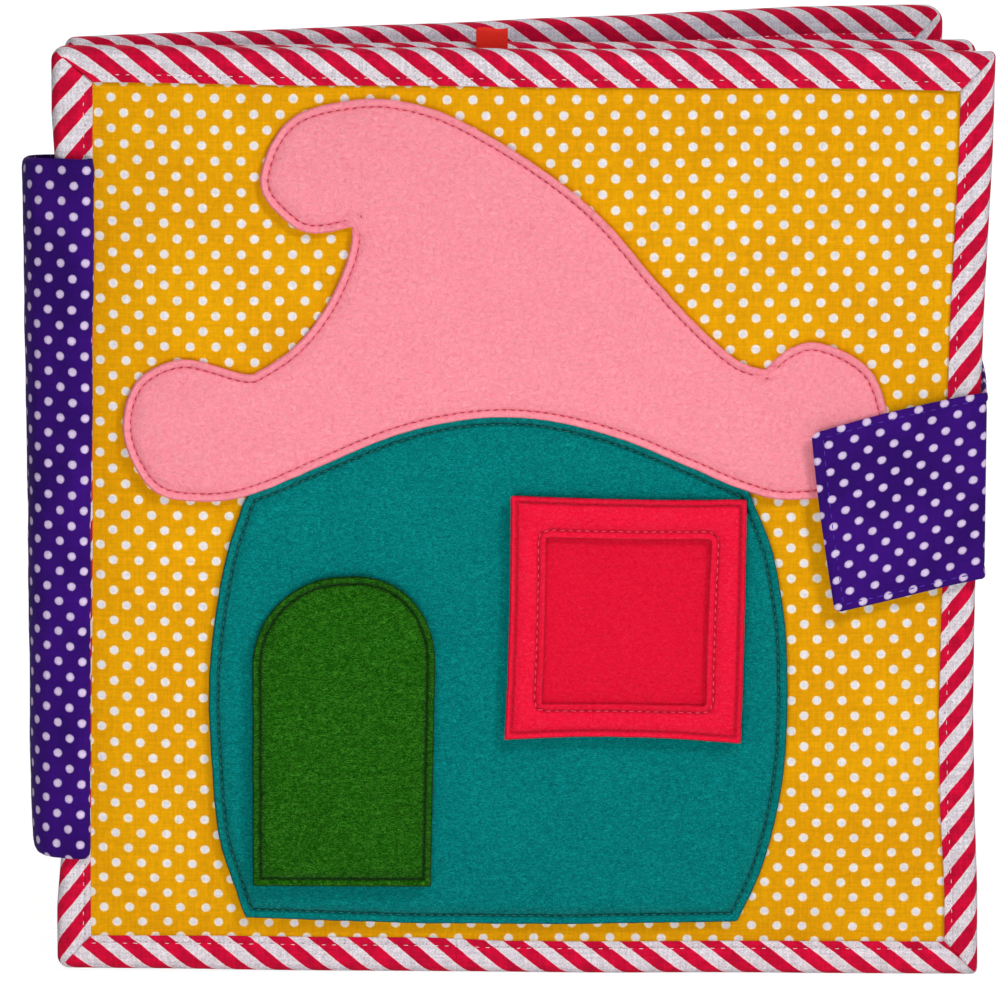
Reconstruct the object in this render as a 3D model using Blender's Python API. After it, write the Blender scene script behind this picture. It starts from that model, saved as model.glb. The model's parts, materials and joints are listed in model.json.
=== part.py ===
"""A soft cloth quiet book, standing a little open as it does on a shelf.

Three padded leaves are bound round their edges and held at the left in a cloth-wrapped spine. The front
cover carries a felt cottage whose door and window lift like flaps, and a strap with hook-and-loop
patches closes the book round its fore edge. Lengths are in metres, +Z is up, and the front cover faces -Y.
"""

from math import acos, atan2, cos, pi, radians, sin, sqrt, tan

import bmesh
import bpy
from mathutils import Vector

# The leaves
COVER_WIDTH = 0.205
COVER_HEIGHT = 0.209
LEAF_THICKNESS = 0.006
LEAF_GAP = 0.0005
SEAM_GAP = 0.0003
MIDDLE_FAN = radians(3.8)
REAR_FAN = radians(15.7)

# The striped binding folded round each leaf, and the cloth and wadding it holds
BINDING_WIDTH = 0.0073
BINDING_CLOTH = 0.0007
BINDING_FOLD_RADIUS = 0.0018
BINDING_CORNER_RADIUS = 0.003
PANEL_CLOTH = 0.0006
PANEL_INSET = 0.0022
CROWN_CLEARANCE = 0.0004
OUTER_CROWN = 0.003
INNER_CROWN = 0.0008
CROWN_POWER = 6

# The purple wrap over the spine and the roll of wadding in it
WRAP_CLOTH = 0.0008
WRAP_HEIGHT = 0.1613
WRAP_BOTTOM = 0.0257
WRAP_BULGE_TOP = 0.0075
WRAP_BULGE_BOTTOM = 0.0057
FLAP_REACH_TOP = 0.009
FLAP_REACH_BOTTOM = 0.0059
FOLD_SPLIT = 0.00015
ROLL_END_INSET = 0.0015

# The felt cottage, whose boxes are placed from the middle of the cover's lower edge
FELT = 0.0014
EAVE_GAP = 0.0005

# The door and the window, each of two felt layers, and their hinge lines
FLAP_FELT = 0.0012
HINGE_STANDOFF = 0.0001
DOOR_LEFT = -0.0596
DOOR_BOTTOM = 0.0218
DOOR_WIDTH = 0.0405
DOOR_HEIGHT = 0.0705
WINDOW_LEFT = -0.003
WINDOW_BOTTOM = 0.0548
WINDOW_WIDTH = 0.0525
WINDOW_HEIGHT = 0.0552
WINDOW_TILT = radians(-1)
OPENING_LEFT = 0.0084
OPENING_BOTTOM = 0.0085
OPENING_WIDTH = 0.0364
OPENING_HEIGHT = 0.0375

# The closing strap and its fastening patches
STRAP_CLOTH = 0.0012
STRAP_WIDTH = 0.0402
STRAP_TILT = radians(12.6)
STRAP_END_SKEW = radians(4.8)
STRAP_TAB_LENGTH = 0.0362
STRAP_TAB_LIFT = radians(6.3)
STRAP_TAB_STANDOFF = 0.0009
STRAP_FOLD_SHARE = 0.5402
STRAP_FOLD_CLEARANCE = 0.0016
STRAP_EDGE_CLEARANCE = 0.0015
STRAP_END_MARGIN = radians(0.4)
STRAP_SEWN_LENGTH = 0.026
PATCH_CLOTH = 0.0006
PATCH_WIDTH = 0.0145
PATCH_HEIGHT = 0.022
PATCH_FROM_FOLD = 0.0094
PATCH_FROM_STRAP_TOP = 0.0085

# The red ribbon tab at the top of the middle leaf
RIBBON_THICKNESS = 0.0008
RIBBON_WIDTH = 0.007
RIBBON_FROM_SPINE = 0.0957
RIBBON_SEWN_LENGTH = 0.0095
RIBBON_PROUD = 0.0026

# How finely the curves are drawn, as counts
GRID_SHARES = (0.0, 0.36, 0.64, 0.82, 0.93, 1.0)
FOLD_STEPS = 3
CURVE_STEPS = 3
ARCH_STEPS = 14
WRAP_STEPS = 12
STRAP_STEPS = 9
WELD = 0.000001

# How the surfaces are shaded
SHARP_OVER = radians(35)
CLOTH_ROUGHNESS = 0.9

# Sizes that follow from those above
LEAF_PITCH = LEAF_THICKNESS + LEAF_GAP
BINDING_FACE = LEAF_THICKNESS / 2
PANEL_FACE = BINDING_FACE - BINDING_CLOTH - SEAM_GAP
PANEL_BACK = PANEL_FACE - PANEL_CLOTH
PADDING_FACE = PANEL_BACK - SEAM_GAP
VISIBLE_HALF_WIDTH = COVER_WIDTH / 2 - BINDING_WIDTH - CROWN_CLEARANCE
VISIBLE_HALF_HEIGHT = COVER_HEIGHT / 2 - BINDING_WIDTH - CROWN_CLEARANCE
FELT_BACK = PANEL_FACE + SEAM_GAP
FELT_FACE = FELT_BACK + FELT
FLAP_BACK = FELT_FACE + SEAM_GAP
FLAP_MIDDLE = FLAP_BACK + FLAP_FELT
FLAP_FRONT_BACK = FLAP_MIDDLE + SEAM_GAP
FLAP_FACE = FLAP_FRONT_BACK + FLAP_FELT
WRAP_FACE = BINDING_FACE + SEAM_GAP + WRAP_CLOTH
FOLD_TO_FOLD = 2 * WRAP_FACE + 2 * LEAF_PITCH
MID_COVER = COVER_WIDTH / 2
STRAP_FOLD_HEIGHT = STRAP_FOLD_SHARE * COVER_HEIGHT

# The roof's and the wall's left, bottom, width and height, and the ends of the wall's top, all as shares of the
# cover's width and height
ROOF_BOX_SHARES = (-0.4288, 0.5163, 0.8249, 0.4368)
WALL_BOX_SHARES = (-0.3381, 0.0612, 0.6288, 0.4627)
WALL_TOP_SHARES = (-0.3015, 0.2512)

# Outlines as shares of those boxes; a corner ends one curve and starts the next
ROOF_TOP_SHARES = (
    (0.299, 0.691), (0.250, 0.674), (0.215, 0.700), (0.179, 0.785), (0.195, 0.900), (0.235, 0.970),
    (0.315, 1.000), (0.376, 0.990), (0.442, 0.947), (0.538, 0.843), (0.615, 0.717), (0.691, 0.559),
    (0.747, 0.448), (0.803, 0.366), (0.839, 0.343),
)
ROOF_EAVE_SHARES = (
    (0.839, 0.343), (0.866, 0.390), (0.905, 0.411), (0.960, 0.369), (0.990, 0.298), (0.998, 0.175),
    (0.948, 0.052), (0.873, 0.021), (0.808, 0.048), (0.738, 0.104), (0.647, 0.173), (0.545, 0.218),
    (0.452, 0.218), (0.358, 0.179), (0.266, 0.109), (0.175, 0.035), (0.108, 0.011), (0.045, 0.031),
    (0.000, 0.183), (0.015, 0.307), (0.075, 0.362), (0.156, 0.328), (0.177, 0.336), (0.229, 0.398),
    (0.268, 0.495), (0.293, 0.616), (0.299, 0.691),
)
WALL_LEFT_SHARES = (
    (0.058, 0.985), (0.023, 0.824), (0.000, 0.584), (0.005, 0.350), (0.016, 0.198), (0.039, 0.096),
    (0.061, 0.005),
)
WALL_RIGHT_SHARES = (
    (0.917, 0.000), (0.958, 0.129), (0.985, 0.274), (0.998, 0.410), (1.000, 0.580), (0.994, 0.721),
    (0.972, 0.883), (0.940, 0.990),
)

COLOURS = {
    "yellow_dot_cotton": "#EFA800",
    "blue_cotton": "#3E8FCB",
    "striped_binding": "#E8506E",
    "wadding": "#F4F1EA",
    "purple_dot_cotton": "#41189A",
    "pink_felt": "#FB91A1",
    "teal_felt": "#007E79",
    "green_felt": "#276B10",
    "red_felt": "#EE1B3B",
    "hook_and_loop": "#F1EFEA",
    "red_ribbon": "#E0250F",
}


def linear(channel):
    """Turn one sRGB channel, 0 to 1, into linear light."""
    return channel / 12.92 if channel <= 0.04045 else ((channel + 0.055) / 1.055) ** 2.4


def cloth_material(name, finish):
    """A matt woven or felted material in the photographed colour."""
    code = COLOURS[finish].lstrip("#")
    rgb = [linear(int(code[i:i + 2], 16) / 255) for i in (0, 2, 4)]
    material = bpy.data.materials.new(name)
    material.use_nodes = True
    shader = material.node_tree.nodes["Principled BSDF"]
    shader.inputs["Base Color"].default_value = (*rgb, 1)
    shader.inputs["Roughness"].default_value = CLOTH_ROUGHNESS
    shader.inputs["Metallic"].default_value = 0
    return material


def empty(name, parent, location, turn=0.0):
    """An axis or frame that pieces are parented to; turn is about Z."""
    made = bpy.data.objects.new(name, None)
    bpy.context.scene.collection.objects.link(made)
    made.parent = parent
    made.location = location
    made.rotation_euler = (0, 0, turn)
    return made


def piece(name, bm, parent, finish, location=(0, 0, 0), turn=0.0):
    """Finish a closed mesh and place it as one named piece under its parent."""
    bmesh.ops.remove_doubles(bm, verts=bm.verts, dist=WELD)
    bmesh.ops.triangulate(bm, faces=bm.faces, quad_method="FIXED")
    bmesh.ops.recalc_face_normals(bm, faces=bm.faces)
    mesh = bpy.data.meshes.new(name)
    bm.to_mesh(mesh)
    bm.free()
    mesh.materials.append(cloth_material(name, finish))
    mesh.shade_smooth()
    mesh.set_sharp_from_angle(angle=SHARP_OVER)
    made = bpy.data.objects.new(name, mesh)
    bpy.context.scene.collection.objects.link(made)
    made.parent = parent
    made.location = location
    made.rotation_euler = (0, 0, turn)
    return made


def shell(near, far):
    """A closed sheet between two grids of points that have the same number of columns and rows."""
    bm = bmesh.new()
    sides = [[[bm.verts.new(point) for point in column] for column in grid] for grid in (near, far)]
    last_column = len(near) - 1
    last_row = len(near[0]) - 1
    for side in sides:
        for i in range(last_column):
            for j in range(last_row):
                bm.faces.new((side[i][j], side[i + 1][j], side[i + 1][j + 1], side[i][j + 1]))
    rim = [(i, 0) for i in range(last_column)] + [(last_column, j) for j in range(last_row)]
    rim += [(i, last_row) for i in range(last_column, 0, -1)] + [(0, j) for j in range(last_row, 0, -1)]
    for (i, j), (k, m) in zip(rim, rim[1:] + rim[:1]):
        bm.faces.new((sides[0][i][j], sides[0][k][m], sides[1][k][m], sides[1][i][j]))
    return bm


def grid_lines(half, middle):
    """The lines that every layer of a leaf is cut along, closest where the crown falls away."""
    reach = [half * share for share in GRID_SHARES]
    return [middle - r for r in reversed(reach[1:])] + [middle + r for r in reach]


def crown(x, z, height):
    """How far a padded face stands out at x from the spine edge and z from the foot of its leaf."""
    across = min(abs(x - MID_COVER) / VISIBLE_HALF_WIDTH, 1)
    up = min(abs(z - COVER_HEIGHT / 2) / VISIBLE_HALF_HEIGHT, 1)
    return height * (1 - across ** CROWN_POWER) * (1 - up ** CROWN_POWER)


def layer(near_level, near_crown, far_level, far_crown):
    """One sheet or pad of a leaf. Levels are measured from the leaf's middle, and near is towards -Y."""
    columns = grid_lines(VISIBLE_HALF_WIDTH, MID_COVER)
    columns = [PANEL_INSET] + columns + [COVER_WIDTH - PANEL_INSET]
    rows = grid_lines(VISIBLE_HALF_HEIGHT, COVER_HEIGHT / 2)
    rows = [PANEL_INSET] + rows + [COVER_HEIGHT - PANEL_INSET]
    near = [[(x, near_level - crown(x, z, near_crown), z) for z in rows] for x in columns]
    far = [[(x, far_level + crown(x, z, far_crown), z) for z in rows] for x in columns]
    return shell(near, far)


def binding_profile():
    """The folded tape in section, as (distance in from the leaf's edge, distance from its middle)."""
    steps = [pi / 2 * i / FOLD_STEPS for i in range(FOLD_STEPS + 1)]
    outside = BINDING_FOLD_RADIUS
    inside = BINDING_FOLD_RADIUS - BINDING_CLOTH
    flat = BINDING_FACE - BINDING_FOLD_RADIUS
    outer = [(BINDING_WIDTH, BINDING_FACE)]
    outer += [(outside - outside * sin(a), flat + outside * cos(a)) for a in steps]
    inner = [(BINDING_WIDTH, BINDING_FACE - BINDING_CLOTH)]
    inner += [(outside - inside * sin(a), flat + inside * cos(a)) for a in steps]
    outer += [(inset, -level) for inset, level in reversed(outer)]
    inner += [(inset, -level) for inset, level in reversed(inner)]
    return outer + inner[::-1]


def binding():
    """The tape folded round all four edges of a leaf, mitred inside and rounded outside at each corner."""
    bm = bmesh.new()
    sections = []
    corners = ((-1, -1, pi), (1, -1, 1.5 * pi), (1, 1, 0), (-1, 1, pi / 2))
    for across, up, start in corners:
        centre_x = MID_COVER + across * (MID_COVER - BINDING_CORNER_RADIUS)
        centre_z = COVER_HEIGHT / 2 + up * (COVER_HEIGHT / 2 - BINDING_CORNER_RADIUS)
        for turn in (0, pi / 4, pi / 2):
            section = []
            for inset, level in binding_profile():
                round_reach = max(BINDING_CORNER_RADIUS - inset, 0)
                mitre = max(inset - BINDING_CORNER_RADIUS, 0)
                x = centre_x + round_reach * cos(start + turn) - across * mitre
                z = centre_z + round_reach * sin(start + turn) - up * mitre
                section.append(bm.verts.new((x, level, z)))
            sections.append(section)
    for a, b in zip(sections, sections[1:] + sections[:1]):
        for i, point in enumerate(a):
            j = (i + 1) % len(a)
            bm.faces.new((point, a[j], b[j], b[i]))
    return bm


def leaf(name, parent, location, turn, near, far):
    """A padded leaf. near and far each give a face's piece name, its cloth and its crown."""
    near_name, near_finish, near_crown = near
    far_name, far_finish, far_crown = far
    place = {"location": location, "turn": turn}
    sheet = layer(-PANEL_FACE, near_crown, -PANEL_BACK, -near_crown)
    piece(near_name, sheet, parent, near_finish, **place)
    sheet = layer(PANEL_BACK, -far_crown, PANEL_FACE, far_crown)
    piece(far_name, sheet, parent, far_finish, **place)
    pad = layer(-PADDING_FACE, near_crown, PADDING_FACE, far_crown)
    piece(f"{name}_padding", pad, parent, "wadding", **place)
    piece(f"{name}_binding", binding(), parent, "striped_binding", **place)


def smooth_curve(points):
    """Points on a smooth open curve through the given ones, which it reaches exactly."""
    curve = []
    ends = [points[0]] + list(points) + [points[-1]]
    for a, b, c, d in zip(ends, ends[1:], ends[2:], ends[3:]):
        for step in range(CURVE_STEPS):
            t = step / CURVE_STEPS
            weights = (
                -t ** 3 + 2 * t ** 2 - t,
                3 * t ** 3 - 5 * t ** 2 + 2,
                -3 * t ** 3 + 4 * t ** 2 + t,
                t ** 3 - t ** 2,
            )
            curve.append(tuple(sum(w * p[k] for w, p in zip(weights, (a, b, c, d))) / 2 for k in (0, 1)))
    return curve


def placed(shares, box):
    """Shares of a box turned into places on the cover, from its spine edge and foot."""
    left, bottom, width, height = box
    return [
        (MID_COVER + COVER_WIDTH * (left + width * x), COVER_HEIGHT * (bottom + height * z))
        for x, z in shares
    ]


def roof_curves():
    """The roof's outline in two smooth stretches that meet at its two notches."""
    top = smooth_curve(placed(ROOF_TOP_SHARES, ROOF_BOX_SHARES))
    eave = smooth_curve(placed(ROOF_EAVE_SHARES, ROOF_BOX_SHARES))
    return top, eave


def wall_outline():
    """The wall bulges at both sides, and its top follows the eave a little below it."""
    left = placed(WALL_LEFT_SHARES, WALL_BOX_SHARES)
    right = placed(WALL_RIGHT_SHARES, WALL_BOX_SHARES)
    top_left, top_right = (MID_COVER + COVER_WIDTH * share for share in WALL_TOP_SHARES)
    roof_bottom, roof_height = ROOF_BOX_SHARES[1], ROOF_BOX_SHARES[3]
    highest = COVER_HEIGHT * (roof_bottom + roof_height / 4)
    eave = [(x, z) for x, z in roof_curves()[1] if z < highest and top_left < x < top_right]
    top = [(x, z - EAVE_GAP) for x, z in eave]
    return smooth_curve(left) + [left[-1]] + smooth_curve(right) + [right[-1]] + top


def draped_felt(outlines, back, thickness, height=OUTER_CROWN):
    """Felt cut to flat outlines and laid over the crowned cover. The outlines share their cut edges."""
    bm = bmesh.new()
    flat = [bm.faces.new([bm.verts.new((x, -back, z)) for x, z in outline]) for outline in outlines]
    bmesh.ops.remove_doubles(bm, verts=bm.verts, dist=WELD)
    raised = bmesh.ops.extrude_face_region(bm, geom=list(bm.faces), use_keep_orig=True)["geom"]
    top = [item for item in raised if isinstance(item, bmesh.types.BMVert)]
    bmesh.ops.translate(bm, verts=top, vec=(0, -thickness, 0))
    cuts = [((x, 0, 0), (1, 0, 0)) for x in grid_lines(VISIBLE_HALF_WIDTH, MID_COVER)]
    cuts += [((0, 0, z), (0, 0, 1)) for z in grid_lines(VISIBLE_HALF_HEIGHT, COVER_HEIGHT / 2)]
    for place, direction in cuts:
        whole = list(bm.verts) + list(bm.edges) + list(bm.faces)
        bmesh.ops.bisect_plane(bm, geom=whole, plane_co=place, plane_no=direction, dist=WELD)
    for vert in bm.verts:
        vert.co.y -= crown(vert.co.x, vert.co.z, height)
    return bm


def door_outline():
    """A square foot and a half-round head."""
    left = MID_COVER + DOOR_LEFT
    radius = DOOR_WIDTH / 2
    spring = DOOR_BOTTOM + DOOR_HEIGHT - radius
    arch = [pi * i / ARCH_STEPS for i in range(ARCH_STEPS + 1)]
    head = [(left + radius + radius * cos(a), spring + radius * sin(a)) for a in arch]
    return [(left, DOOR_BOTTOM), (left + DOOR_WIDTH, DOOR_BOTTOM)] + head


def window_corners(left, bottom, width, height):
    """A rectangle inside the window's own outline, turned with it about its lower left corner."""
    right = left + width
    top = bottom + height
    corners = []
    for x, z in ((left, bottom), (right, bottom), (right, top), (left, top)):
        turned_x = x * cos(WINDOW_TILT) - z * sin(WINDOW_TILT)
        turned_z = x * sin(WINDOW_TILT) + z * cos(WINDOW_TILT)
        corners.append((MID_COVER + WINDOW_LEFT + turned_x, WINDOW_BOTTOM + turned_z))
    return corners


def frame_strips():
    """The window frame's face as four strips that meet at mitres."""
    outer = window_corners(0, 0, WINDOW_WIDTH, WINDOW_HEIGHT)
    inner = window_corners(OPENING_LEFT, OPENING_BOTTOM, OPENING_WIDTH, OPENING_HEIGHT)
    return [
        (outer[i], outer[(i + 1) % 4], inner[(i + 1) % 4], inner[i])
        for i in range(4)
    ]


def flap_hinge(name, cover, origin, outline):
    """An empty on a felt flap's hinge line, just in front of its left edge."""
    left = min(x for x, z in outline)
    stand = max(crown(x, z, OUTER_CROWN) for x, z in outline if x - left < 2 * FELT)
    face = FLAP_FACE + stand + HINGE_STANDOFF
    return empty(name, cover, (origin.x + left - HINGE_STANDOFF, origin.y - face, 0))


def felt_flap(hinge, origin, layers):
    """The layers of a flap, each given as its name, cloth, outlines and level, placed from the hinge line."""
    place = origin - hinge.location
    for name, finish, outlines, back in layers:
        felt = draped_felt(outlines, back, FLAP_FELT)
        piece(name, felt, hinge, finish, location=place)


def wrap_section(bulge, side, inset):
    """Half an ellipse from the front fold to the rear fold, seen from above, inset from the wrap's face."""
    reach = bulge - inset
    depth = FOLD_TO_FOLD / 2 - inset
    half_turn = [pi * i / WRAP_STEPS for i in range(WRAP_STEPS + 1)]
    return [(-side - reach * sin(a), FOLD_TO_FOLD / 2 - depth * cos(a)) for a in half_turn]


def wrap_grid(inset, side):
    """The wrap's surface at its foot and its top, which bulges more than the foot."""
    foot = wrap_section(WRAP_BULGE_BOTTOM, side, inset)
    top = wrap_section(WRAP_BULGE_TOP, side, inset)
    low = WRAP_BOTTOM
    high = WRAP_BOTTOM + WRAP_HEIGHT
    return [[(a[0], a[1], low), (b[0], b[1], high)] for a, b in zip(foot, top)]


def spine_roll():
    """The roll of wadding that fills the wrap, flat where the leaves' edges meet it."""
    inset = WRAP_CLOTH + SEAM_GAP
    bm = bmesh.new()
    rings = []
    for bulge, z in (
        (WRAP_BULGE_BOTTOM, WRAP_BOTTOM + ROLL_END_INSET),
        (WRAP_BULGE_TOP, WRAP_BOTTOM + WRAP_HEIGHT - ROLL_END_INSET),
    ):
        rings.append([bm.verts.new((x, y, z)) for x, y in wrap_section(bulge, FOLD_SPLIT, inset)])
    bm.faces.new(rings[0])
    bm.faces.new(rings[1])
    for i, foot in enumerate(rings[0]):
        j = (i + 1) % len(rings[0])
        bm.faces.new((foot, rings[0][j], rings[1][j], rings[1][i]))
    return bm


def wrap_flap(side):
    """The part of the wrap sewn over a cover's spine edge. side is -1 on the front and 1 on the rear."""
    low = WRAP_BOTTOM
    high = WRAP_BOTTOM + WRAP_HEIGHT
    under = -side * WRAP_CLOTH
    foot = ((FOLD_SPLIT, low), (SEAM_GAP + FLAP_REACH_BOTTOM, low))
    top = ((FOLD_SPLIT, high), (SEAM_GAP + FLAP_REACH_TOP, high))
    outer = [[(a[0], 0, a[1]), (b[0], 0, b[1])] for a, b in zip(foot, top)]
    inner = [[(a[0], under, a[1]), (b[0], under, b[1])] for a, b in zip(foot, top)]
    return shell(outer, inner)


def strap_tab():
    """The strap's free end on the front cover, from the fold towards the spine, in the fold's own frame."""
    half = STRAP_CLOTH / 2
    half_width = STRAP_WIDTH / 2 / cos(STRAP_TILT)
    lean = tan(STRAP_TILT - STRAP_END_SKEW)
    outer = []
    inner = []
    for share in (0, 1):
        column_out = []
        column_in = []
        for edge in (-half_width, half_width):
            end = STRAP_TAB_LENGTH + edge * lean
            reach = STRAP_FOLD_CLEARANCE + share * (end - STRAP_FOLD_CLEARANCE)
            z = edge - reach * tan(STRAP_TILT)
            column_out.append((-reach, -half, z))
            column_in.append((-reach, half, z))
        outer.append(column_out)
        inner.append(column_in)
    return shell(outer, inner)


def strap_side(axis_reach, first, last):
    """The strap round the fore edge. Its arc is centred on the rear fold, at the origin of its frame."""
    half = STRAP_CLOTH / 2
    half_width = STRAP_WIDTH / 2 / cos(STRAP_TILT)
    outer = []
    inner = []
    for i in range(STRAP_STEPS + 1):
        angle = first + (last - first) * i / STRAP_STEPS
        middle = STRAP_FOLD_HEIGHT + axis_reach * (angle - first) * tan(STRAP_TILT)
        for grid, radius in ((outer, axis_reach + half), (inner, axis_reach - half)):
            x = radius * cos(angle)
            y = radius * sin(angle)
            grid.append([(x, y, middle - half_width), (x, y, middle + half_width)])
    return shell(outer, inner)


def strap_sewn_end(edge_height):
    """The strap's far end, laid over the back cover's binding and panel. edge_height is where it meets the edge."""
    half_width = STRAP_WIDTH / 2 / cos(STRAP_TILT)
    first = COVER_WIDTH - STRAP_SEWN_LENGTH
    columns = [x for x in grid_lines(VISIBLE_HALF_WIDTH, MID_COVER) if x > first] + [COVER_WIDTH]
    inner = []
    outer = []
    for x in columns:
        middle = edge_height + (COVER_WIDTH - x) * tan(STRAP_TILT)
        panel = PANEL_FACE + crown(x, COVER_HEIGHT / 2, OUTER_CROWN)
        level = max(BINDING_FACE, panel) + SEAM_GAP
        inner.append([(x, level, middle - half_width), (x, level, middle + half_width)])
        outer.append([(x, y + STRAP_CLOTH, z) for x, y, z in inner[-1]])
    return shell(inner, outer)


def hook_patch():
    """The hook patch sewn behind the strap tab, with edges along and across the strap."""
    half_width = STRAP_WIDTH / 2 / cos(STRAP_TILT)
    near = STRAP_CLOTH / 2 + SEAM_GAP
    far = near + PATCH_CLOTH
    grids = []
    for level in (near, far):
        grid = []
        for reach in (PATCH_FROM_FOLD, PATCH_FROM_FOLD + PATCH_WIDTH):
            top = half_width - PATCH_FROM_STRAP_TOP - reach * tan(STRAP_TILT)
            grid.append([(-reach, level, top - PATCH_HEIGHT), (-reach, level, top)])
        grids.append(grid)
    return shell(*grids)


def loop_patch_outline(fold_x):
    """The loop patch on the front cover, under the hook patch."""
    half_width = STRAP_WIDTH / 2 / cos(STRAP_TILT)
    right = fold_x - PATCH_FROM_FOLD
    top = STRAP_FOLD_HEIGHT + half_width - PATCH_FROM_STRAP_TOP - PATCH_FROM_FOLD * tan(STRAP_TILT)
    drop = PATCH_WIDTH * tan(STRAP_TILT)
    left = right - PATCH_WIDTH
    return [(left, top - drop - PATCH_HEIGHT), (right, top - PATCH_HEIGHT), (right, top), (left, top - drop)]


def ribbon():
    """A flat ribbon end sewn to the front of the middle leaf's top binding."""
    near = -BINDING_FACE - SEAM_GAP - RIBBON_THICKNESS
    far = -BINDING_FACE - SEAM_GAP
    columns = (RIBBON_FROM_SPINE - RIBBON_WIDTH / 2, RIBBON_FROM_SPINE + RIBBON_WIDTH / 2)
    top = COVER_HEIGHT + RIBBON_PROUD
    rows = (top - RIBBON_SEWN_LENGTH - RIBBON_PROUD, top)
    return shell(*[[[(x, level, z) for z in rows] for x in columns] for level in (near, far)])


def centre_on_base(book):
    """Move the whole book so that its origin is the middle of its box, at the foot."""
    bpy.context.view_layer.update()
    corners = [
        obj.matrix_world @ vert.co
        for obj in bpy.context.scene.objects if obj.type == "MESH"
        for vert in obj.data.vertices
    ]
    low = Vector([min(c[k] for c in corners) for k in range(3)])
    high = Vector([max(c[k] for c in corners) for k in range(3)])
    book.location = (-(low.x + high.x) / 2, -(low.y + high.y) / 2, -low.z)


def main():
    for old in list(bpy.data.objects):
        bpy.data.objects.remove(old, do_unlink=True)

    # The frames: the back cover holds the spine at the rear fold, and the spine holds the front cover
    book = empty("book", None, (0, 0, 0))
    back_cover = empty("back_cover_frame", book, (0, 0, 0), REAR_FAN)
    rear_fold = empty("rear_fold_axis", book, (0, 0, 0))
    front_fold = empty("front_fold_axis", rear_fold, (0, -FOLD_TO_FOLD, 0))

    # The back cover, whose lining faces the reader
    leaf("back_cover", back_cover, (SEAM_GAP, -WRAP_FACE, 0), 0,
         ("back_cover_lining", "blue_cotton", INNER_CROWN),
         ("back_cover_panel", "yellow_dot_cotton", OUTER_CROWN))
    piece("spine_wrap_rear_flap", wrap_flap(1), back_cover, "purple_dot_cotton")

    # The spine and the middle leaf sewn into it
    wrap_at = (0, -FOLD_TO_FOLD, 0)
    wrap = shell(wrap_grid(0, FOLD_SPLIT), wrap_grid(WRAP_CLOTH, FOLD_SPLIT))
    piece("spine_wrap", wrap, rear_fold, "purple_dot_cotton", wrap_at)
    piece("spine_padding", spine_roll(), rear_fold, "wadding", wrap_at)
    middle_at = (SEAM_GAP, -WRAP_FACE - LEAF_PITCH, 0)
    leaf("middle_leaf", rear_fold, middle_at, MIDDLE_FAN,
         ("middle_leaf_front_panel", "blue_cotton", INNER_CROWN),
         ("middle_leaf_rear_panel", "blue_cotton", INNER_CROWN))
    piece("ribbon_tab", ribbon(), rear_fold, "red_ribbon", middle_at, MIDDLE_FAN)

    # The front cover and the felt cottage on it
    origin = Vector((SEAM_GAP, WRAP_FACE, 0))
    leaf("front_cover", front_fold, origin, 0,
         ("front_cover_panel", "yellow_dot_cotton", OUTER_CROWN),
         ("front_cover_lining", "blue_cotton", INNER_CROWN))
    piece("spine_wrap_front_flap", wrap_flap(-1), front_fold, "purple_dot_cotton")
    roof_top, roof_eave = roof_curves()
    roof = draped_felt([roof_top + roof_eave], FELT_BACK, FELT)
    piece("roof_felt", roof, front_fold, "pink_felt", origin)
    wall = draped_felt([wall_outline()], FELT_BACK, FELT)
    piece("wall_felt", wall, front_fold, "teal_felt", origin)

    # The door and window flaps
    door = door_outline()
    door_hinge = flap_hinge("door_hinge_axis", front_fold, origin, door)
    felt_flap(door_hinge, origin, (
        ("door_back_felt", "green_felt", [door], FLAP_BACK),
        ("door_front_felt", "green_felt", [door], FLAP_FRONT_BACK),
    ))
    window = window_corners(0, 0, WINDOW_WIDTH, WINDOW_HEIGHT)
    window_hinge = flap_hinge("window_hinge_axis", front_fold, origin, window)
    felt_flap(window_hinge, origin, (
        ("window_backing_felt", "red_felt", [window], FLAP_BACK),
        ("window_frame_felt", "red_felt", frame_strips(), FLAP_FRONT_BACK),
    ))

    # The strap, folded round the fore edge just outside the path of the back cover's edge
    arc = SEAM_GAP + COVER_WIDTH + STRAP_EDGE_CLEARANCE + STRAP_CLOTH / 2
    fold_y = WRAP_FACE - BINDING_FACE - STRAP_TAB_STANDOFF - STRAP_CLOTH / 2
    below_rear = FOLD_TO_FOLD - fold_y
    fold_x = sqrt(arc ** 2 - below_rear ** 2)
    fold = (fold_x, fold_y, 0)
    tab_fold = empty("strap_tab_axis", front_fold, fold)
    tab_at = (0, 0, STRAP_FOLD_HEIGHT)
    piece("strap_tab", strap_tab(), tab_fold, "purple_dot_cotton", tab_at, STRAP_TAB_LIFT)
    piece("hook_patch", hook_patch(), tab_fold, "hook_and_loop", tab_at, STRAP_TAB_LIFT)
    side_fold = empty("strap_side_axis", front_fold, fold)
    first = -acos(fold_x / arc) + STRAP_FOLD_CLEARANCE / arc
    last = REAR_FAN - STRAP_END_MARGIN
    side_at = (-fold_x, below_rear, 0)
    piece("strap_side", strap_side(arc, first, last), side_fold, "purple_dot_cotton", side_at)
    edge_height = STRAP_FOLD_HEIGHT + arc * (last - first) * tan(STRAP_TILT)
    sewn_end = strap_sewn_end(edge_height)
    piece("strap_sewn_end", sewn_end, back_cover, "purple_dot_cotton", (SEAM_GAP, -WRAP_FACE, 0))
    patch = draped_felt([loop_patch_outline(fold_x - SEAM_GAP)], FELT_BACK, PATCH_CLOTH)
    piece("loop_patch", patch, front_fold, "hook_and_loop", origin)

    centre_on_base(book)


main()
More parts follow.
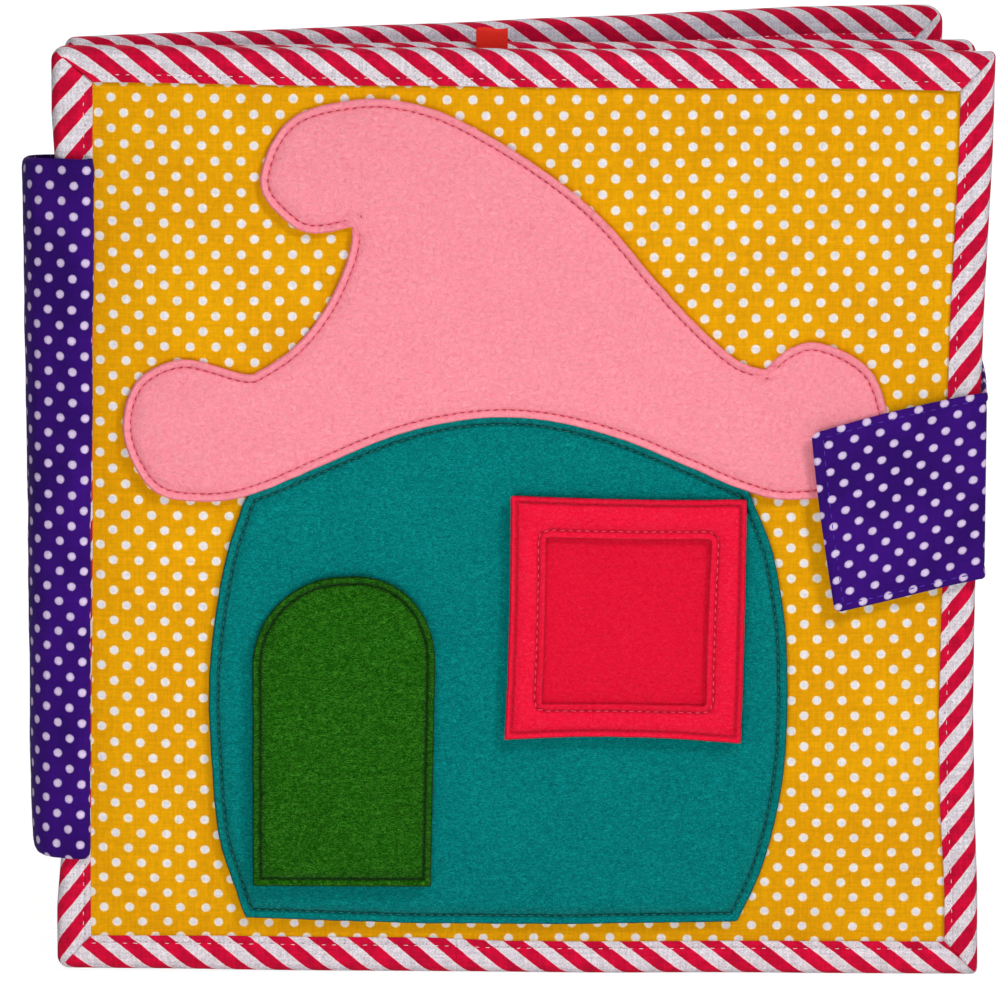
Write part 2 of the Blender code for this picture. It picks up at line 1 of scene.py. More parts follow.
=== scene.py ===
# %% [markdown]
# # A cloth quiet book
# A quiet book is a soft book for small children. Its leaves are two cottons with wadding between them, bound all
# round with a striped tape, and held in a wrapped spine. The cover carries a felt cottage whose door and window
# lift, and a strap closes the book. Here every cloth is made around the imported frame, which stays as it is.

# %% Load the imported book
import json
import math
import random
from functools import partial

import bpy
import numpy as np
from mathutils import Matrix, Vector, noise
from mathutils.geometry import delaunay_2d_cdt

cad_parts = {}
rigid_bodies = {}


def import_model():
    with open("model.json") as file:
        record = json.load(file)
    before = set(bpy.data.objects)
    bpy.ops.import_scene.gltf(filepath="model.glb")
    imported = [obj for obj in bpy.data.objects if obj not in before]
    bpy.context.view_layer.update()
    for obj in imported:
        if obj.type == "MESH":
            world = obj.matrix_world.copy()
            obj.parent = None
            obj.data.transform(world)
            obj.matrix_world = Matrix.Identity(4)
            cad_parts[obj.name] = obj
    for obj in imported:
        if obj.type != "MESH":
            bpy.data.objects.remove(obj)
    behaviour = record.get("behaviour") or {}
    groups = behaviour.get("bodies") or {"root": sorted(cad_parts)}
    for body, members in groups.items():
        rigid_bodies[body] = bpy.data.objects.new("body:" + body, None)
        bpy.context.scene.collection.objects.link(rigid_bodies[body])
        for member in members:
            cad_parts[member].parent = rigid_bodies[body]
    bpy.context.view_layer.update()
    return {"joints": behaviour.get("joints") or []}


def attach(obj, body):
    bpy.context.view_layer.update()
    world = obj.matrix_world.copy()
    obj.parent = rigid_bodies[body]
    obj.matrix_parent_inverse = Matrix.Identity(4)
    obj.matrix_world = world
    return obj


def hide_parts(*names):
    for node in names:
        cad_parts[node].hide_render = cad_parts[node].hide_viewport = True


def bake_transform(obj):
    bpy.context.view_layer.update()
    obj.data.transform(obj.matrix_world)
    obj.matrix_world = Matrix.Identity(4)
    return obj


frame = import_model()
MM = 0.001
joint_at = {joint["name"]: Vector(joint["pos_m"]) for joint in frame["joints"]}

# %% [markdown]
# ## The camera and the studio
# The photograph was taken from far away with a long lens, looking down by about 12 degrees, so the covers' edges
# stay nearly parallel. These numbers come from fitting a camera to the corners of the covers. The floor fills the
# whole picture, and it is the white background.

# %% Camera
PITCH = math.radians(11.83)
YAW = math.radians(-0.172)
ROLL = math.radians(0.184)
DISTANCE = 2.024
FOCAL_PIXELS = 9104
PICTURE_HEIGHT = 1000
AIM = Vector((-0.0022, -0.0352, 0.1090))

forward = Vector((math.sin(YAW) * math.cos(PITCH), math.cos(YAW) * math.cos(PITCH), -math.sin(PITCH)))
right = Vector((math.cos(YAW), -math.sin(YAW), 0))
up = right.cross(forward)
turned_right = right * math.cos(ROLL) + up * math.sin(ROLL)
turned_up = up * math.cos(ROLL) - right * math.sin(ROLL)
axes = Matrix((turned_right, turned_up, -forward)).transposed().to_4x4()
bpy.ops.object.camera_add()
camera = bpy.context.object
camera.name = "camera"
camera.matrix_world = Matrix.Translation(AIM - forward * DISTANCE) @ axes
camera.data.lens = camera.data.sensor_width * FOCAL_PIXELS / PICTURE_HEIGHT
camera.data.clip_end = 20
bpy.context.scene.camera = camera
print("lens", round(camera.data.lens), "mm")


# %% Colours and nodes
def srgb(code, alpha=1.0):
    """A hex colour as it is seen, turned into the linear light that shaders work in."""
    channels = [int(code[i:i + 2], 16) / 255 for i in (1, 3, 5)]
    return tuple(c / 12.92 if c <= 0.04045 else ((c + 0.055) / 1.055) ** 2.4 for c in channels) + (alpha,)


def plug(node, inputs):
    """Give a node's sockets values or other nodes' outputs, in order, or by name or number."""
    for key, value in inputs.items() if isinstance(inputs, dict) else enumerate(inputs):
        if isinstance(value, bpy.types.NodeSocket):
            node.id_data.links.new(value, node.inputs[key])
        else:
            node.inputs[key].default_value = value


def add_node(tree, kind, inputs=(), output=0, **settings):
    """Add one node with its settings and links, and give back one of its outputs, if it has any."""
    made = tree.nodes.new("ShaderNode" + kind)
    for name, value in settings.items():
        setattr(made, name, value)
    plug(made, inputs)
    return made.outputs[output] if len(made.outputs) else None


def new_material(name, roughness, sheen=0.0, sheen_roughness=0.5, specular=0.3):
    """An empty Principled material, the function that adds its nodes, and its shader node."""
    material = bpy.data.materials.new(name)
    material.use_nodes = True
    shader = material.node_tree.nodes["Principled BSDF"]
    plug(shader, {"Roughness": roughness, "Sheen Weight": sheen, "Sheen Roughness": sheen_roughness,
                  "Specular IOR Level": specular})
    return material, partial(add_node, material.node_tree), shader


# %% The studio: a white floor, an even sky, and soft lamps whose key stands at the upper right
world = bpy.data.worlds.new("studio")
bpy.context.scene.world = world
world.use_nodes = True
plug(world.node_tree.nodes["Background"], {"Color": (1, 1, 1, 1), "Strength": 0.2})

bpy.ops.mesh.primitive_plane_add(size=8, location=(0, 0, 0))
floor = bpy.context.object
floor.name = "floor"
floor_material = bpy.data.materials.new("painted studio floor")
floor_material.use_nodes = True
floor_material.node_tree.nodes.clear()
node = partial(add_node, floor_material.node_tree)
seen_by_camera = node("LightPath", output="Is Camera Ray")
paint = node("BsdfDiffuse", {"Color": srgb("#E8E8E8")})
seen_paint = node("BsdfDiffuse", {"Color": srgb("#7A797B")})
seen_glow = node("Emission", {"Color": (1, 1, 1, 1), "Strength": 0.92})
seen = node("AddShader", (seen_paint, seen_glow))
node("OutputMaterial", {"Surface": node("MixShader", (seen_by_camera, paint, seen))})
floor.data.materials.append(floor_material)


def area_lamp(name, place, target, size, power):
    """A soft square lamp that points at a target."""
    bpy.ops.object.light_add(type="AREA", location=place)
    lamp = bpy.context.object
    lamp.name = name
    lamp.data.size = size
    lamp.data.energy = power
    lamp.rotation_euler = (Vector(target) - Vector(place)).to_track_quat("-Z", "Y").to_euler()
    return lamp


BOOK_MIDDLE = (0, 0, 0.105)
BOOK_FOOT = (0, 0, 0.03)
for name, place, target, size, power in (
    ("key lamp", (0.75, -0.9, 1.05), BOOK_MIDDLE, 0.22, 9.8),
    ("top lamp", (0.1, -0.55, 1.3), BOOK_MIDDLE, 0.6, 2.3),
    ("low front lamp", (-0.1, -1.2, 0.12), BOOK_MIDDLE, 0.4, 2.0),
    ("foot lamp", (-0.04, -0.36, 0.07), BOOK_FOOT, 0.13, 0.36),
    ("back lamp", (-0.2, 1.3, 0.9), BOOK_MIDDLE, 0.8, 8),
):
    print(area_lamp(name, place, target, size, power).name, power, "W")
bpy.context.scene.view_settings.view_transform = "Standard"

# %% [markdown]
# ## Where the leaves lie
# Each leaf is modelled flat in its own frame: x runs from the spine edge to the fore edge, z up, and -y out of
# the face that the reader opens first. The front cover lies square to the picture. The middle leaf and the back
# cover fan open behind it, so their frames are turned about the spine.

# %% The leaves' frames
WIDTH = 205 * MM
HEIGHT = 209 * MM
FRONT_FOLD = joint_at["front_fold"]
REAR_FOLD = joint_at["rear_fold"]
MIDDLE_FAN = math.radians(3.8)
REAR_FAN = math.radians(15.7)
FOLD_LEVEL = 4.1 * MM
LEAF_PITCH = 6.5 * MM
SEAM_GAP = 0.3 * MM


def leaf_frame(fold, turn, depth, fan=0.0):
    """The matrix of a leaf that starts at a fold, whose middle lies at a depth behind the fold line."""
    place = Vector((fold.x, fold.y, 0))
    start = Matrix.Translation(place) @ Matrix.Rotation(turn, 4, "Z")
    return start @ Matrix.Translation((SEAM_GAP, depth, 0)) @ Matrix.Rotation(fan, 4, "Z")


front_frame = leaf_frame(FRONT_FOLD, 0, FOLD_LEVEL)
middle_frame = leaf_frame(REAR_FOLD, 0, -FOLD_LEVEL - LEAF_PITCH, MIDDLE_FAN)
back_frame = leaf_frame(REAR_FOLD, REAR_FAN, -FOLD_LEVEL)
for name, place in (("front", front_frame), ("middle", middle_frame), ("back", back_frame)):
    print(name, "fore edge at", [round(v / MM, 1) for v in place @ Vector((WIDTH, 0, 0))])


# %% Making and finishing meshes
def select_only(obj):
    """Select one object, and make it the active one."""
    for other in bpy.context.view_layer.objects:
        other.select_set(False)
    obj.select_set(True)
    bpy.context.view_layer.objects.active = obj


def mesh_object(name, points, faces, uv=None, face_uv=None):
    """A new object of points and faces in metres. uv is per point, and face_uv is per face corner, both in mm."""
    mesh = bpy.data.meshes.new(name)
    mesh.from_pydata([tuple(point) for point in points], [], [tuple(face) for face in faces])
    if uv is not None or face_uv is not None:
        layer = mesh.uv_layers.new(name="cloth")
        corner = np.zeros(len(mesh.loops), np.int32)
        mesh.loops.foreach_get("vertex_index", corner)
        values = np.asarray(face_uv if uv is None else np.asarray(uv)[corner], np.float32)
        layer.data.foreach_set("uv", values.ravel())
    made = bpy.data.objects.new(name, mesh)
    bpy.context.scene.collection.objects.link(made)
    select_only(made)
    return made


def apply_modifier(obj, kind, **settings):
    """Add one modifier with its settings and apply it."""
    modifier = obj.modifiers.new(kind.lower(), kind)
    for name, value in settings.items():
        setattr(modifier, name, value)
    select_only(obj)
    bpy.ops.object.modifier_apply(modifier=modifier.name)


def grid_faces(columns, rows, start=0, turned=False):
    """Quads of a grid of points that is listed column by column."""
    faces = []
    for i in range(columns - 1):
        for j in range(rows - 1):
            a = start + i * rows + j
            quad = (a, a + rows, a + rows + 1, a + 1)
            faces.append(quad[::-1] if turned else quad)
    return faces


def tube_faces(rings, sides):
    """The faces of a closed tube whose points are listed ring by ring, with its two end caps."""
    faces = []
    for k in range(rings - 1):
        for j in range(sides):
            a, b = k * sides + j, k * sides + (j + 1) % sides
            faces.append((a, b, b + sides, a + sides))
    last = (rings - 1) * sides
    return faces + [tuple(range(sides))[::-1], tuple(range(last, last + sides))]


def way_along(line):
    """The distance walked along a line of points, at each of them."""
    return np.concatenate([[0], np.cumsum(np.linalg.norm(np.diff(line, axis=0), axis=1))])


def points_at(line, marks):
    """The points at distances walked along a line."""
    way = way_along(line)
    return np.stack([np.interp(marks, way, column) for column in line.T], -1)


def finish_cloth(obj, material, place=None, smooth_under=50):
    """Give a cloth its material and its place, and smooth shading that keeps its cut edges."""
    obj.data.materials.clear()
    obj.data.materials.append(material)
    if place is not None:
        obj.data.transform(place)
    select_only(obj)
    bpy.ops.object.shade_smooth_by_angle(angle=math.radians(smooth_under))
    return obj


def dress(piece, slot, *nodes, body=None):
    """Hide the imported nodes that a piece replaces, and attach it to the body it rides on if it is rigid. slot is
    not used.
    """
    if body:
        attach(piece, body)
    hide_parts(*nodes)


# %% [markdown]
# ## Woven cotton
# The covers, the wrap and the strap are quilting cotton: a plain weave of about 30 threads to the centimetre,
# printed with small white dots in staggered rows. The pattern has to follow the cloth round folds, so it is drawn
# in the cloth's own UV map, which is in millimetres. The weave is drawn at 0.5 mm, coarser than the real 0.33 mm,
# because threads finer than a pixel don't show.

# %% Cotton materials
DOT_COLUMNS = 5.70
DOT_ROWS = 6.95
THREAD = 0.5
COTTON_LOOK = {"roughness": 0.9, "sheen": 0.03, "specular": 0.08}
# A Mix node's colours are its sockets 6 and 7, and its mixed colour is its output 2.
MIX = {"output": 2, "data_type": "RGBA"}
SOFT = {"interpolation_type": "SMOOTHSTEP"}


def weave(node, place):
    """The height of the threads, and their slubs, where a thread is thicker or paler. Both are 0 to 1."""
    layers = []
    for narrow, long in ((1 / THREAD, 0.3 / THREAD), (0.8 / THREAD, 0.04 / THREAD)):
        pair = []
        for stretch in ((narrow, long, 1), (long, narrow, 1)):
            scaled = node("VectorMath", (place, stretch), operation="MULTIPLY")
            pair.append(node("TexNoise", {"Vector": scaled, "Scale": 1.0, "Detail": 1.0}, "Fac"))
        both = node("Math", pair, operation="ADD")
        layers.append(node("Math", (both, 0.5), operation="MULTIPLY"))
    return layers


def cloth_place(node, wander=0.9, ragged=0.1):
    """The cloth's own millimetres, let wander a little as cut and stretched cloth does."""
    place = node("UVMap", uv_map="cloth")
    for scale, reach in ((0.014, 2 * wander), (1.1, 2 * ragged)):
        drift = node("TexNoise", {"Vector": place, "Scale": scale, "Detail": 1.0}, "Color")
        centred = node("VectorMath", (drift, (0.5, 0.5, 0.5)), operation="SUBTRACT")
        scaled = node("VectorMath", {0: centred, 3: reach}, operation="SCALE")
        place = node("VectorMath", (place, scaled), operation="ADD")
    return place


def cloudy(node, place, scale, first, second):
    """A dyed colour that drifts softly between two shades."""
    cloud = node("TexNoise", {"Vector": place, "Scale": scale, "Detail": 2.0}, "Fac")
    share = node("MapRange", (cloud, 0.35, 0.65), **SOFT)
    return node("Mix", {0: share, 6: srgb(first), 7: srgb(second)}, **MIX)


def finish_weave(node, shader, place, colour, relief=0.03, dark_thread="#E2E2E2"):
    """Shade the colour by its threads, and give the cloth its relief."""
    height, slub = weave(node, place)
    both = node("Math", (node("Math", (height, slub), operation="ADD"), 0.5), operation="MULTIPLY")
    lit = node("MapRange", (both, 0.3, 0.7), **SOFT)
    threads = node("Mix", {0: lit, 6: srgb(dark_thread), 7: srgb("#FFFFFF")}, **MIX)
    toned = node("Mix", {0: 1.0, 6: colour, 7: threads}, blend_type="MULTIPLY", **MIX)
    doubled = node("Math", (height, 2.0), operation="MULTIPLY")
    rough = node("Math", (doubled, slub), operation="ADD")
    bump = node("Bump", {"Height": rough, "Distance": relief * MM, "Strength": 1.0})
    plug(shader, {"Base Color": toned, "Normal": bump})


def dotted_cotton(name, ground, shade, dot, dot_rim, radius):
    """Quilting cotton printed with dots: one grid of them, and a second one half a step away."""
    material, node, shader = new_material(name, **COTTON_LOOK)
    place = cloth_place(node)
    reaches = []
    for shift in (0.0, 0.5):
        step = node("VectorMath", (place, (DOT_COLUMNS, DOT_ROWS, 1)), operation="DIVIDE")
        moved = node("VectorMath", (step, (shift, shift, 0)), operation="ADD")
        cell = node("VectorMath", (moved,), operation="FRACTION")
        middle = node("VectorMath", (cell, (0.5, 0.5, 0)), operation="SUBTRACT")
        sized = node("VectorMath", (middle, (DOT_COLUMNS, DOT_ROWS, 0)), operation="MULTIPLY")
        reaches.append(node("VectorMath", (sized,), "Value", operation="LENGTH"))
    reach = node("Math", reaches, operation="MINIMUM")
    inside = node("MapRange", (reach, radius - 0.13, radius + 0.17, 1.0, 0.0), **SOFT)
    near_rim = node("MapRange", (reach, radius * 0.45, radius * 0.9), **SOFT)
    print_colour = node("Mix", {0: near_rim, 6: srgb(dot), 7: srgb(dot_rim)}, **MIX)
    colour = node("Mix", {0: inside, 6: cloudy(node, place, 0.05, ground, shade), 7: print_colour}, **MIX)
    finish_weave(node, shader, place, colour)
    return material


def plain_cotton(name, ground, shade):
    """Plain dyed cotton."""
    material, node, shader = new_material(name, **COTTON_LOOK)
    place = cloth_place(node)
    finish_weave(node, shader, place, cloudy(node, place, 0.05, ground, shade))
    return material


yellow_cotton = dotted_cotton("yellow dotted quilting cotton", "#E9A500", "#E39D00", "#E6E2EE", "#F4E8C2", 1.0)
purple_cotton = dotted_cotton("purple dotted quilting cotton", "#390C78", "#2E0967", "#DAC8E6", "#C6B0DA", 0.93)
blue_cotton = plain_cotton("blue plain cotton", "#3F8ECB", "#3784C2")
print("cotton materials:", yellow_cotton.name, purple_cotton.name, blue_cotton.name, sep="\n  ")

# %% [markdown]
# ## The striped binding tape
# The tape is woven in red and white stripes and cut slantwise, so that it stretches round the corners. On the
# strip the stripes lean over by about 38 degrees from its edge. The white stripes are unbleached and show dark
# specks of the linen-like weave, with a whiter rim beside the red. A row of small needle holes runs along the
# seam, each one a dot of painted shade.

# %% Striped tape
STRIPE_ALONG = 8.8
STRIPE_LEAN = math.radians(38)
TAPE_HOLES = (1.6, 0.14, 0.28)
NEEDLE_PITCH = 2.3


def striped_tape():
    """Stripes across the tape's own millimetres. The white has a rim and specks, and painted shade marks its needle
    holes.
    """
    material, node, shader = new_material("striped bias binding", **COTTON_LOOK)
    place = cloth_place(node, wander=0.5, ragged=0.09)
    slant = node("Math", (node("SeparateXYZ", (place,), "Y"), 1 / math.tan(STRIPE_LEAN)), operation="MULTIPLY")
    leant = node("Math", (node("SeparateXYZ", (place,), "X"), slant), operation="SUBTRACT")
    phase = node("Math", (leant, STRIPE_ALONG), operation="DIVIDE")
    from_middle = node("Math", (node("Math", (phase,), operation="FRACT"), 0.5), operation="SUBTRACT")
    wave = node("Math", (from_middle,), operation="ABSOLUTE")
    red = node("MapRange", (wave, 0.25, 0.277, 1.0, 0.0), **SOFT)
    speck = node("TexNoise", {"Vector": place, "Scale": 3.6, "Detail": 2.0}, "Fac")
    specked = node("MapRange", (speck, 0.36, 0.6), **SOFT)
    linen = node("Mix", {0: specked, 6: srgb("#CFC5CE"), 7: srgb("#F1ECF2")}, **MIX)
    past_rim = node("MapRange", (wave, 0.285, 0.35), **SOFT)
    white = node("Mix", {0: past_rim, 6: srgb("#F4E0E6"), 7: linen}, **MIX)
    stripes = node("Mix", {0: red, 6: white, 7: cloudy(node, place, 0.3, "#DE0A3C", "#C80736")}, **MIX)

    from_edge, hole, hole_rim = TAPE_HOLES
    own = node("UVMap", uv_map="cloth")
    step = node("Math", (node("SeparateXYZ", (own,), "X"), NEEDLE_PITCH), operation="DIVIDE")
    from_hole = node("Math", (node("Math", (step,), operation="FRACT"), 0.5), operation="SUBTRACT")
    along = node("Math", (from_hole, NEEDLE_PITCH), operation="MULTIPLY")
    across = node("Math", (node("SeparateXYZ", (own,), "Y"), from_edge), operation="SUBTRACT")
    squares = [node("Math", (value, 2.0), operation="POWER") for value in (along, across)]
    reach = node("Math", (node("Math", squares, operation="ADD"),), operation="SQRT")
    # Painted shade: each needle hole is a dark dot mixed into the tape's colour.
    hole_shade = node("MapRange", (reach, hole, hole_rim, 0.55, 0.0), **SOFT)
    colour = node("Mix", {0: hole_shade, 6: stripes, 7: srgb("#6B2A3C")}, **MIX)
    finish_weave(node, shader, place, colour, relief=0.035, dark_thread="#D2D0D2")
    return material


tape = striped_tape()

# %% [markdown]
# ## Felt
# Craft felt is pressed from short dyed fibres that lie every way, a little more along the sheet. It has no
# threads: the eye sees a soft mottle, paler where fibres catch the light and darker in the pores between them, and
# a dusty rim of light at its edges, which is what the sheen gives.


# %% Felt materials
FIBRE_LAYERS = ((0.3, (0.5, 1.3, 1), 0.9), (-0.7, (0.6, 1.2, 1), 1.1), (1.4, (0.5, 1.4, 1), 1.0))


def felt_material(name, base, pore, fibre, glint, share, shade_colour, shade_strength):
    """Pressed felt: a mottle of pores and fibres, and single curly fibres over it. Its pattern is in the piece's
    own millimetres. share is how much of the surface the glinting fibres take. Painted shade darkens the felt in
    its seam grooves and along its cut edges; the last two arguments are that shade's colour and how much of it shows."""
    material, node, shader = new_material(name, 1.0, sheen=0.045, sheen_roughness=0.4, specular=0.03)
    place = node("UVMap", uv_map="cloth")
    mottle = node("TexNoise", {"Vector": place, "Scale": 1.1, "Detail": 4.0, "Roughness": 0.7, "Distortion": 0.8},
                  "Fac")
    cloud = node("TexNoise", {"Vector": place, "Scale": 0.07, "Detail": 3.0}, "Fac")
    drift = node("Math", (node("Math", (cloud, 0.5), operation="SUBTRACT"), 0.12), operation="MULTIPLY")
    middle = node("Math", (mottle, drift), operation="ADD")
    filled = node("MapRange", (middle, 0.33, 0.5), **SOFT)
    lower = node("Mix", {0: filled, 6: srgb(pore), 7: srgb(base)}, **MIX)
    heaped = node("MapRange", (middle, 0.5, 0.67), **SOFT)
    colour = node("Mix", {0: heaped, 6: lower, 7: srgb(fibre)}, **MIX)
    raised = mottle
    for turn, stretch, scale in FIBRE_LAYERS:
        turned = node("Mapping", {"Vector": place, "Rotation": (0, 0, turn), "Scale": stretch})
        layer = node("TexNoise", {"Vector": turned, "Scale": scale, "Detail": 2.0, "Distortion": 1.2}, "Fac")
        from_line = node("Math", (node("Math", (layer, 0.5), operation="SUBTRACT"),), operation="ABSOLUTE")
        strand = node("MapRange", (from_line, 0.006, 0.022, share, 0.0), **SOFT)
        colour = node("Mix", {0: strand, 6: colour, 7: srgb(glint)}, **MIX)
        raised = node("Math", (raised, node("Math", (strand, 0.25), operation="MULTIPLY")), operation="ADD")
    # Painted shade: the felt is drawn darker in its seam grooves and along its cut edges.
    pressed = node("Attribute", output="Fac", attribute_name="pressed")
    darker = node("Math", (pressed, shade_strength), operation="MULTIPLY")
    colour = node("Mix", {0: darker, 6: colour, 7: srgb(shade_colour)}, **MIX)
    bump = node("Bump", {"Height": raised, "Distance": 0.4 * MM, "Strength": 0.8})
    plug(shader, {"Base Color": colour, "Normal": bump})
    return material


# Each felt's last two values are the colour of its painted shade in seam grooves and at cut edges, and how much of it
# shows.
pink_felt = felt_material("pink craft felt", "#FD909F", "#F58193", "#FFA0AB", "#FFAEB8", 0.4,
                          "#D0405C", 0.3)
teal_felt = felt_material("teal craft felt", "#006D6C", "#005C5B", "#007F7D", "#12B0AC", 0.45,
                          "#002C2C", 0.75)
green_felt = felt_material("green craft felt", "#104803", "#0B3601", "#195C08", "#4CA028", 0.45,
                           "#051800", 0.85)
red_felt = felt_material("red craft felt", "#EA1035", "#E00D2F", "#F01B3F", "#FC4460", 0.25,
                         "#7C0620", 0.55)
# Painted shade: the window's under layer is the same red felt as its frame, drawn darker.
shaded_red_felt = felt_material("deep red craft felt", "#DE0E30", "#D20A2A", "#E41538", "#F2344F", 0.25,
                              "#5A0418", 0.8)


def plain_material(name, colour, roughness=0.8, sheen=0.0, grain=0.0, scale=2.0):
    """A material for thread, wadding and small tapes: one colour with a fine grain in it."""
    material, node, shader = new_material(name, roughness, sheen=sheen)
    place = node("TexCoord", output="Object")
    fine = node("TexNoise", {"Vector": place, "Scale": scale / MM, "Detail": 2.0}, "Fac")
    lit = node("MapRange", (fine, 0.3, 0.7), **SOFT)
    shade = node("Mix", {0: lit, 6: srgb("#BEBEBE"), 7: srgb("#FFFFFF")}, **MIX)
    toned = node("Mix", {0: 0.25 + grain, 6: srgb(colour), 7: shade}, blend_type="MULTIPLY", **MIX)
    bump = node("Bump", {"Height": fine, "Distance": 0.1 * MM, "Strength": 0.6})
    plug(shader, {"Base Color": toned, "Normal": bump})
    return material


wadding = plain_material("polyester wadding", "#F4F1EA", 1.0, sheen=0.3, grain=0.3, scale=0.5)
white_thread = plain_material("white sewing thread", "#EFE6E9", 0.7)
crimson_thread = plain_material("crimson sewing thread", "#C22C50", 0.8)
red_thread = plain_material("red sewing thread", "#C01030", 0.8)
pale_red_thread = plain_material("pale red sewing thread", "#F2506E", 0.8)
teal_thread = plain_material("teal sewing thread", "#1F7F7B", 0.8)
green_thread = plain_material("green sewing thread", "#0A2A04", 0.8)
purple_thread = plain_material("purple sewing thread", "#4C2CA0", 0.8)
red_ribbon = plain_material("red grosgrain ribbon", "#E4200C", 0.7, grain=-0.1, scale=1.0)
hook_tape = plain_material("hook tape", "#F1EFEA", 0.5)
loop_tape = plain_material("loop tape", "#ECE9E2", 1.0, sheen=0.5, grain=0.4, scale=1.2)

# %% [markdown]
# ## The padded leaves
# Wadding fills each leaf like a flat pillow: it rises steeply from the sewn edge and is nearly flat in the middle.
# A cloth simulation gives that rise. A closed pillow is held at its rim and blown up from inside, with gravity
# off, and how far it may rise is capped, as the two cottons cap real wadding. The rise is then kept as a grid, so
# that every cloth laid over the leaf follows the same padding.

# %% Blow up one pillow
PAD_INSET = 2.2 * MM
PAD_HALF = 1.1 * MM
HELD_EDGE = 8.5 * MM
PAD_STEP = 4.5 * MM
OUTER_CROWN = 3.0 * MM
INNER_CROWN = 0.8 * MM
CAP = 1.2 * MM
PILLOW_FRAMES = 20
PILLOW_CLOTH = {"quality": 6, "mass": 0.15, "tension_stiffness": 6, "compression_stiffness": 6, "shear_stiffness": 2,
                "bending_stiffness": 0.2, "use_pressure": True, "uniform_pressure_force": 4,
                "vertex_group_mass": "held"}
pad_x = np.linspace(PAD_INSET, WIDTH - PAD_INSET, round((WIDTH - 2 * PAD_INSET) / PAD_STEP) + 1)
pad_z = np.linspace(PAD_INSET, HEIGHT - PAD_INSET, round((HEIGHT - 2 * PAD_INSET) / PAD_STEP) + 1)
grid_x, grid_z = np.meshgrid(pad_x, pad_z, indexing="ij")


def pillow(name, near, far):
    """A closed pillow from its near and far faces' heights at each grid point."""
    columns, rows = grid_x.shape
    points = [np.stack([grid_x, y, grid_z], -1).reshape(-1, 3) for y in (-near, far)]
    faces = grid_faces(columns, rows) + grid_faces(columns, rows, columns * rows, turned=True)
    rim = [(i, 0) for i in range(columns - 1)] + [(columns - 1, j) for j in range(rows - 1)]
    rim += [(i, rows - 1) for i in range(columns - 1, 0, -1)] + [(0, j) for j in range(rows - 1, 0, -1)]
    for (i, j), (k, m) in zip(rim, rim[1:] + rim[:1]):
        a, b = i * rows + j, k * rows + m
        faces.append((b, a, a + columns * rows, b + columns * rows))
    return mesh_object(name, np.concatenate(points), faces)


edge_reach = np.minimum(np.minimum(grid_x, WIDTH - grid_x), np.minimum(grid_z, HEIGHT - grid_z))
flat = np.full(grid_x.shape, PAD_HALF)
blown = pillow("blown_pad", flat, flat)
held = blown.vertex_groups.new(name="held")
held_points = np.nonzero(np.tile(edge_reach.ravel() < HELD_EDGE, 2))[0]
held.add([int(i) for i in held_points], 1.0, "REPLACE")
cloth = blown.modifiers.new("cloth", "CLOTH")
for name, value in PILLOW_CLOTH.items():
    setattr(cloth.settings, name, value)
cloth.settings.effector_weights.gravity = 0
for step in range(1, PILLOW_FRAMES + 1):
    bpy.context.scene.frame_set(step)
select_only(blown)
bpy.ops.object.modifier_apply(modifier=cloth.name)
places = np.zeros(len(blown.data.vertices) * 3)
blown.data.vertices.foreach_get("co", places)
near_side = places.reshape(-1, 3)[:grid_x.size].reshape(*grid_x.shape, 3)
lifted = np.maximum(-near_side[..., 1] - PAD_HALF, 0)
print("the pad rose to", round(lifted.max() / MM, 1), "mm before the cap")
rise = np.tanh(lifted / CAP)
bpy.data.objects.remove(blown)
bpy.context.scene.frame_set(1)
print("rise 12, 20 and 40 mm from the edge:", [round(float(rise[k, rise.shape[1] // 2]), 2) for k in (2, 4, 8)])


# %% Read the padding's height anywhere on a leaf
def crown(x, z):
    """The padding's rise, 0 to 1, at x and z on a leaf, in metres. It takes numbers or arrays."""
    u = np.clip((np.asarray(x, float) - pad_x[0]) / (pad_x[1] - pad_x[0]), 0, len(pad_x) - 1.001)
    v = np.clip((np.asarray(z, float) - pad_z[0]) / (pad_z[1] - pad_z[0]), 0, len(pad_z) - 1.001)
    i, j = u.astype(int), v.astype(int)
    p, q = u - i, v - j
    return (rise[i, j] * (1 - p) * (1 - q) + rise[i + 1, j] * p * (1 - q)
            + rise[i, j + 1] * (1 - p) * q + rise[i + 1, j + 1] * p * q)


def ripple(points, length, seed=0.0):
    """Smooth noise, about -1 to 1, at points in metres, for soft unevenness of a given length."""
    return np.array([noise.noise(Vector((p[0] / length + seed, p[1] / length - seed, p[2] / length + 2 * seed)))
                     for p in points])


def pad(leaf, place, body, near_crown, far_crown):
    """The wadding inside one leaf."""
    flat = np.stack([grid_x, grid_x * 0, grid_z], -1).reshape(-1, 3)
    soft = 0.1 * MM * ripple(flat, 18 * MM).reshape(grid_x.shape)
    loose = np.where(edge_reach > HELD_EDGE, soft, 0)
    made = pillow(leaf + "_wadding", PAD_HALF + near_crown * rise + loose, PAD_HALF + far_crown * rise + loose)
    finish_cloth(made, wadding, place)
    dress(made, "wadding", leaf + "_padding", body=body)
    return made


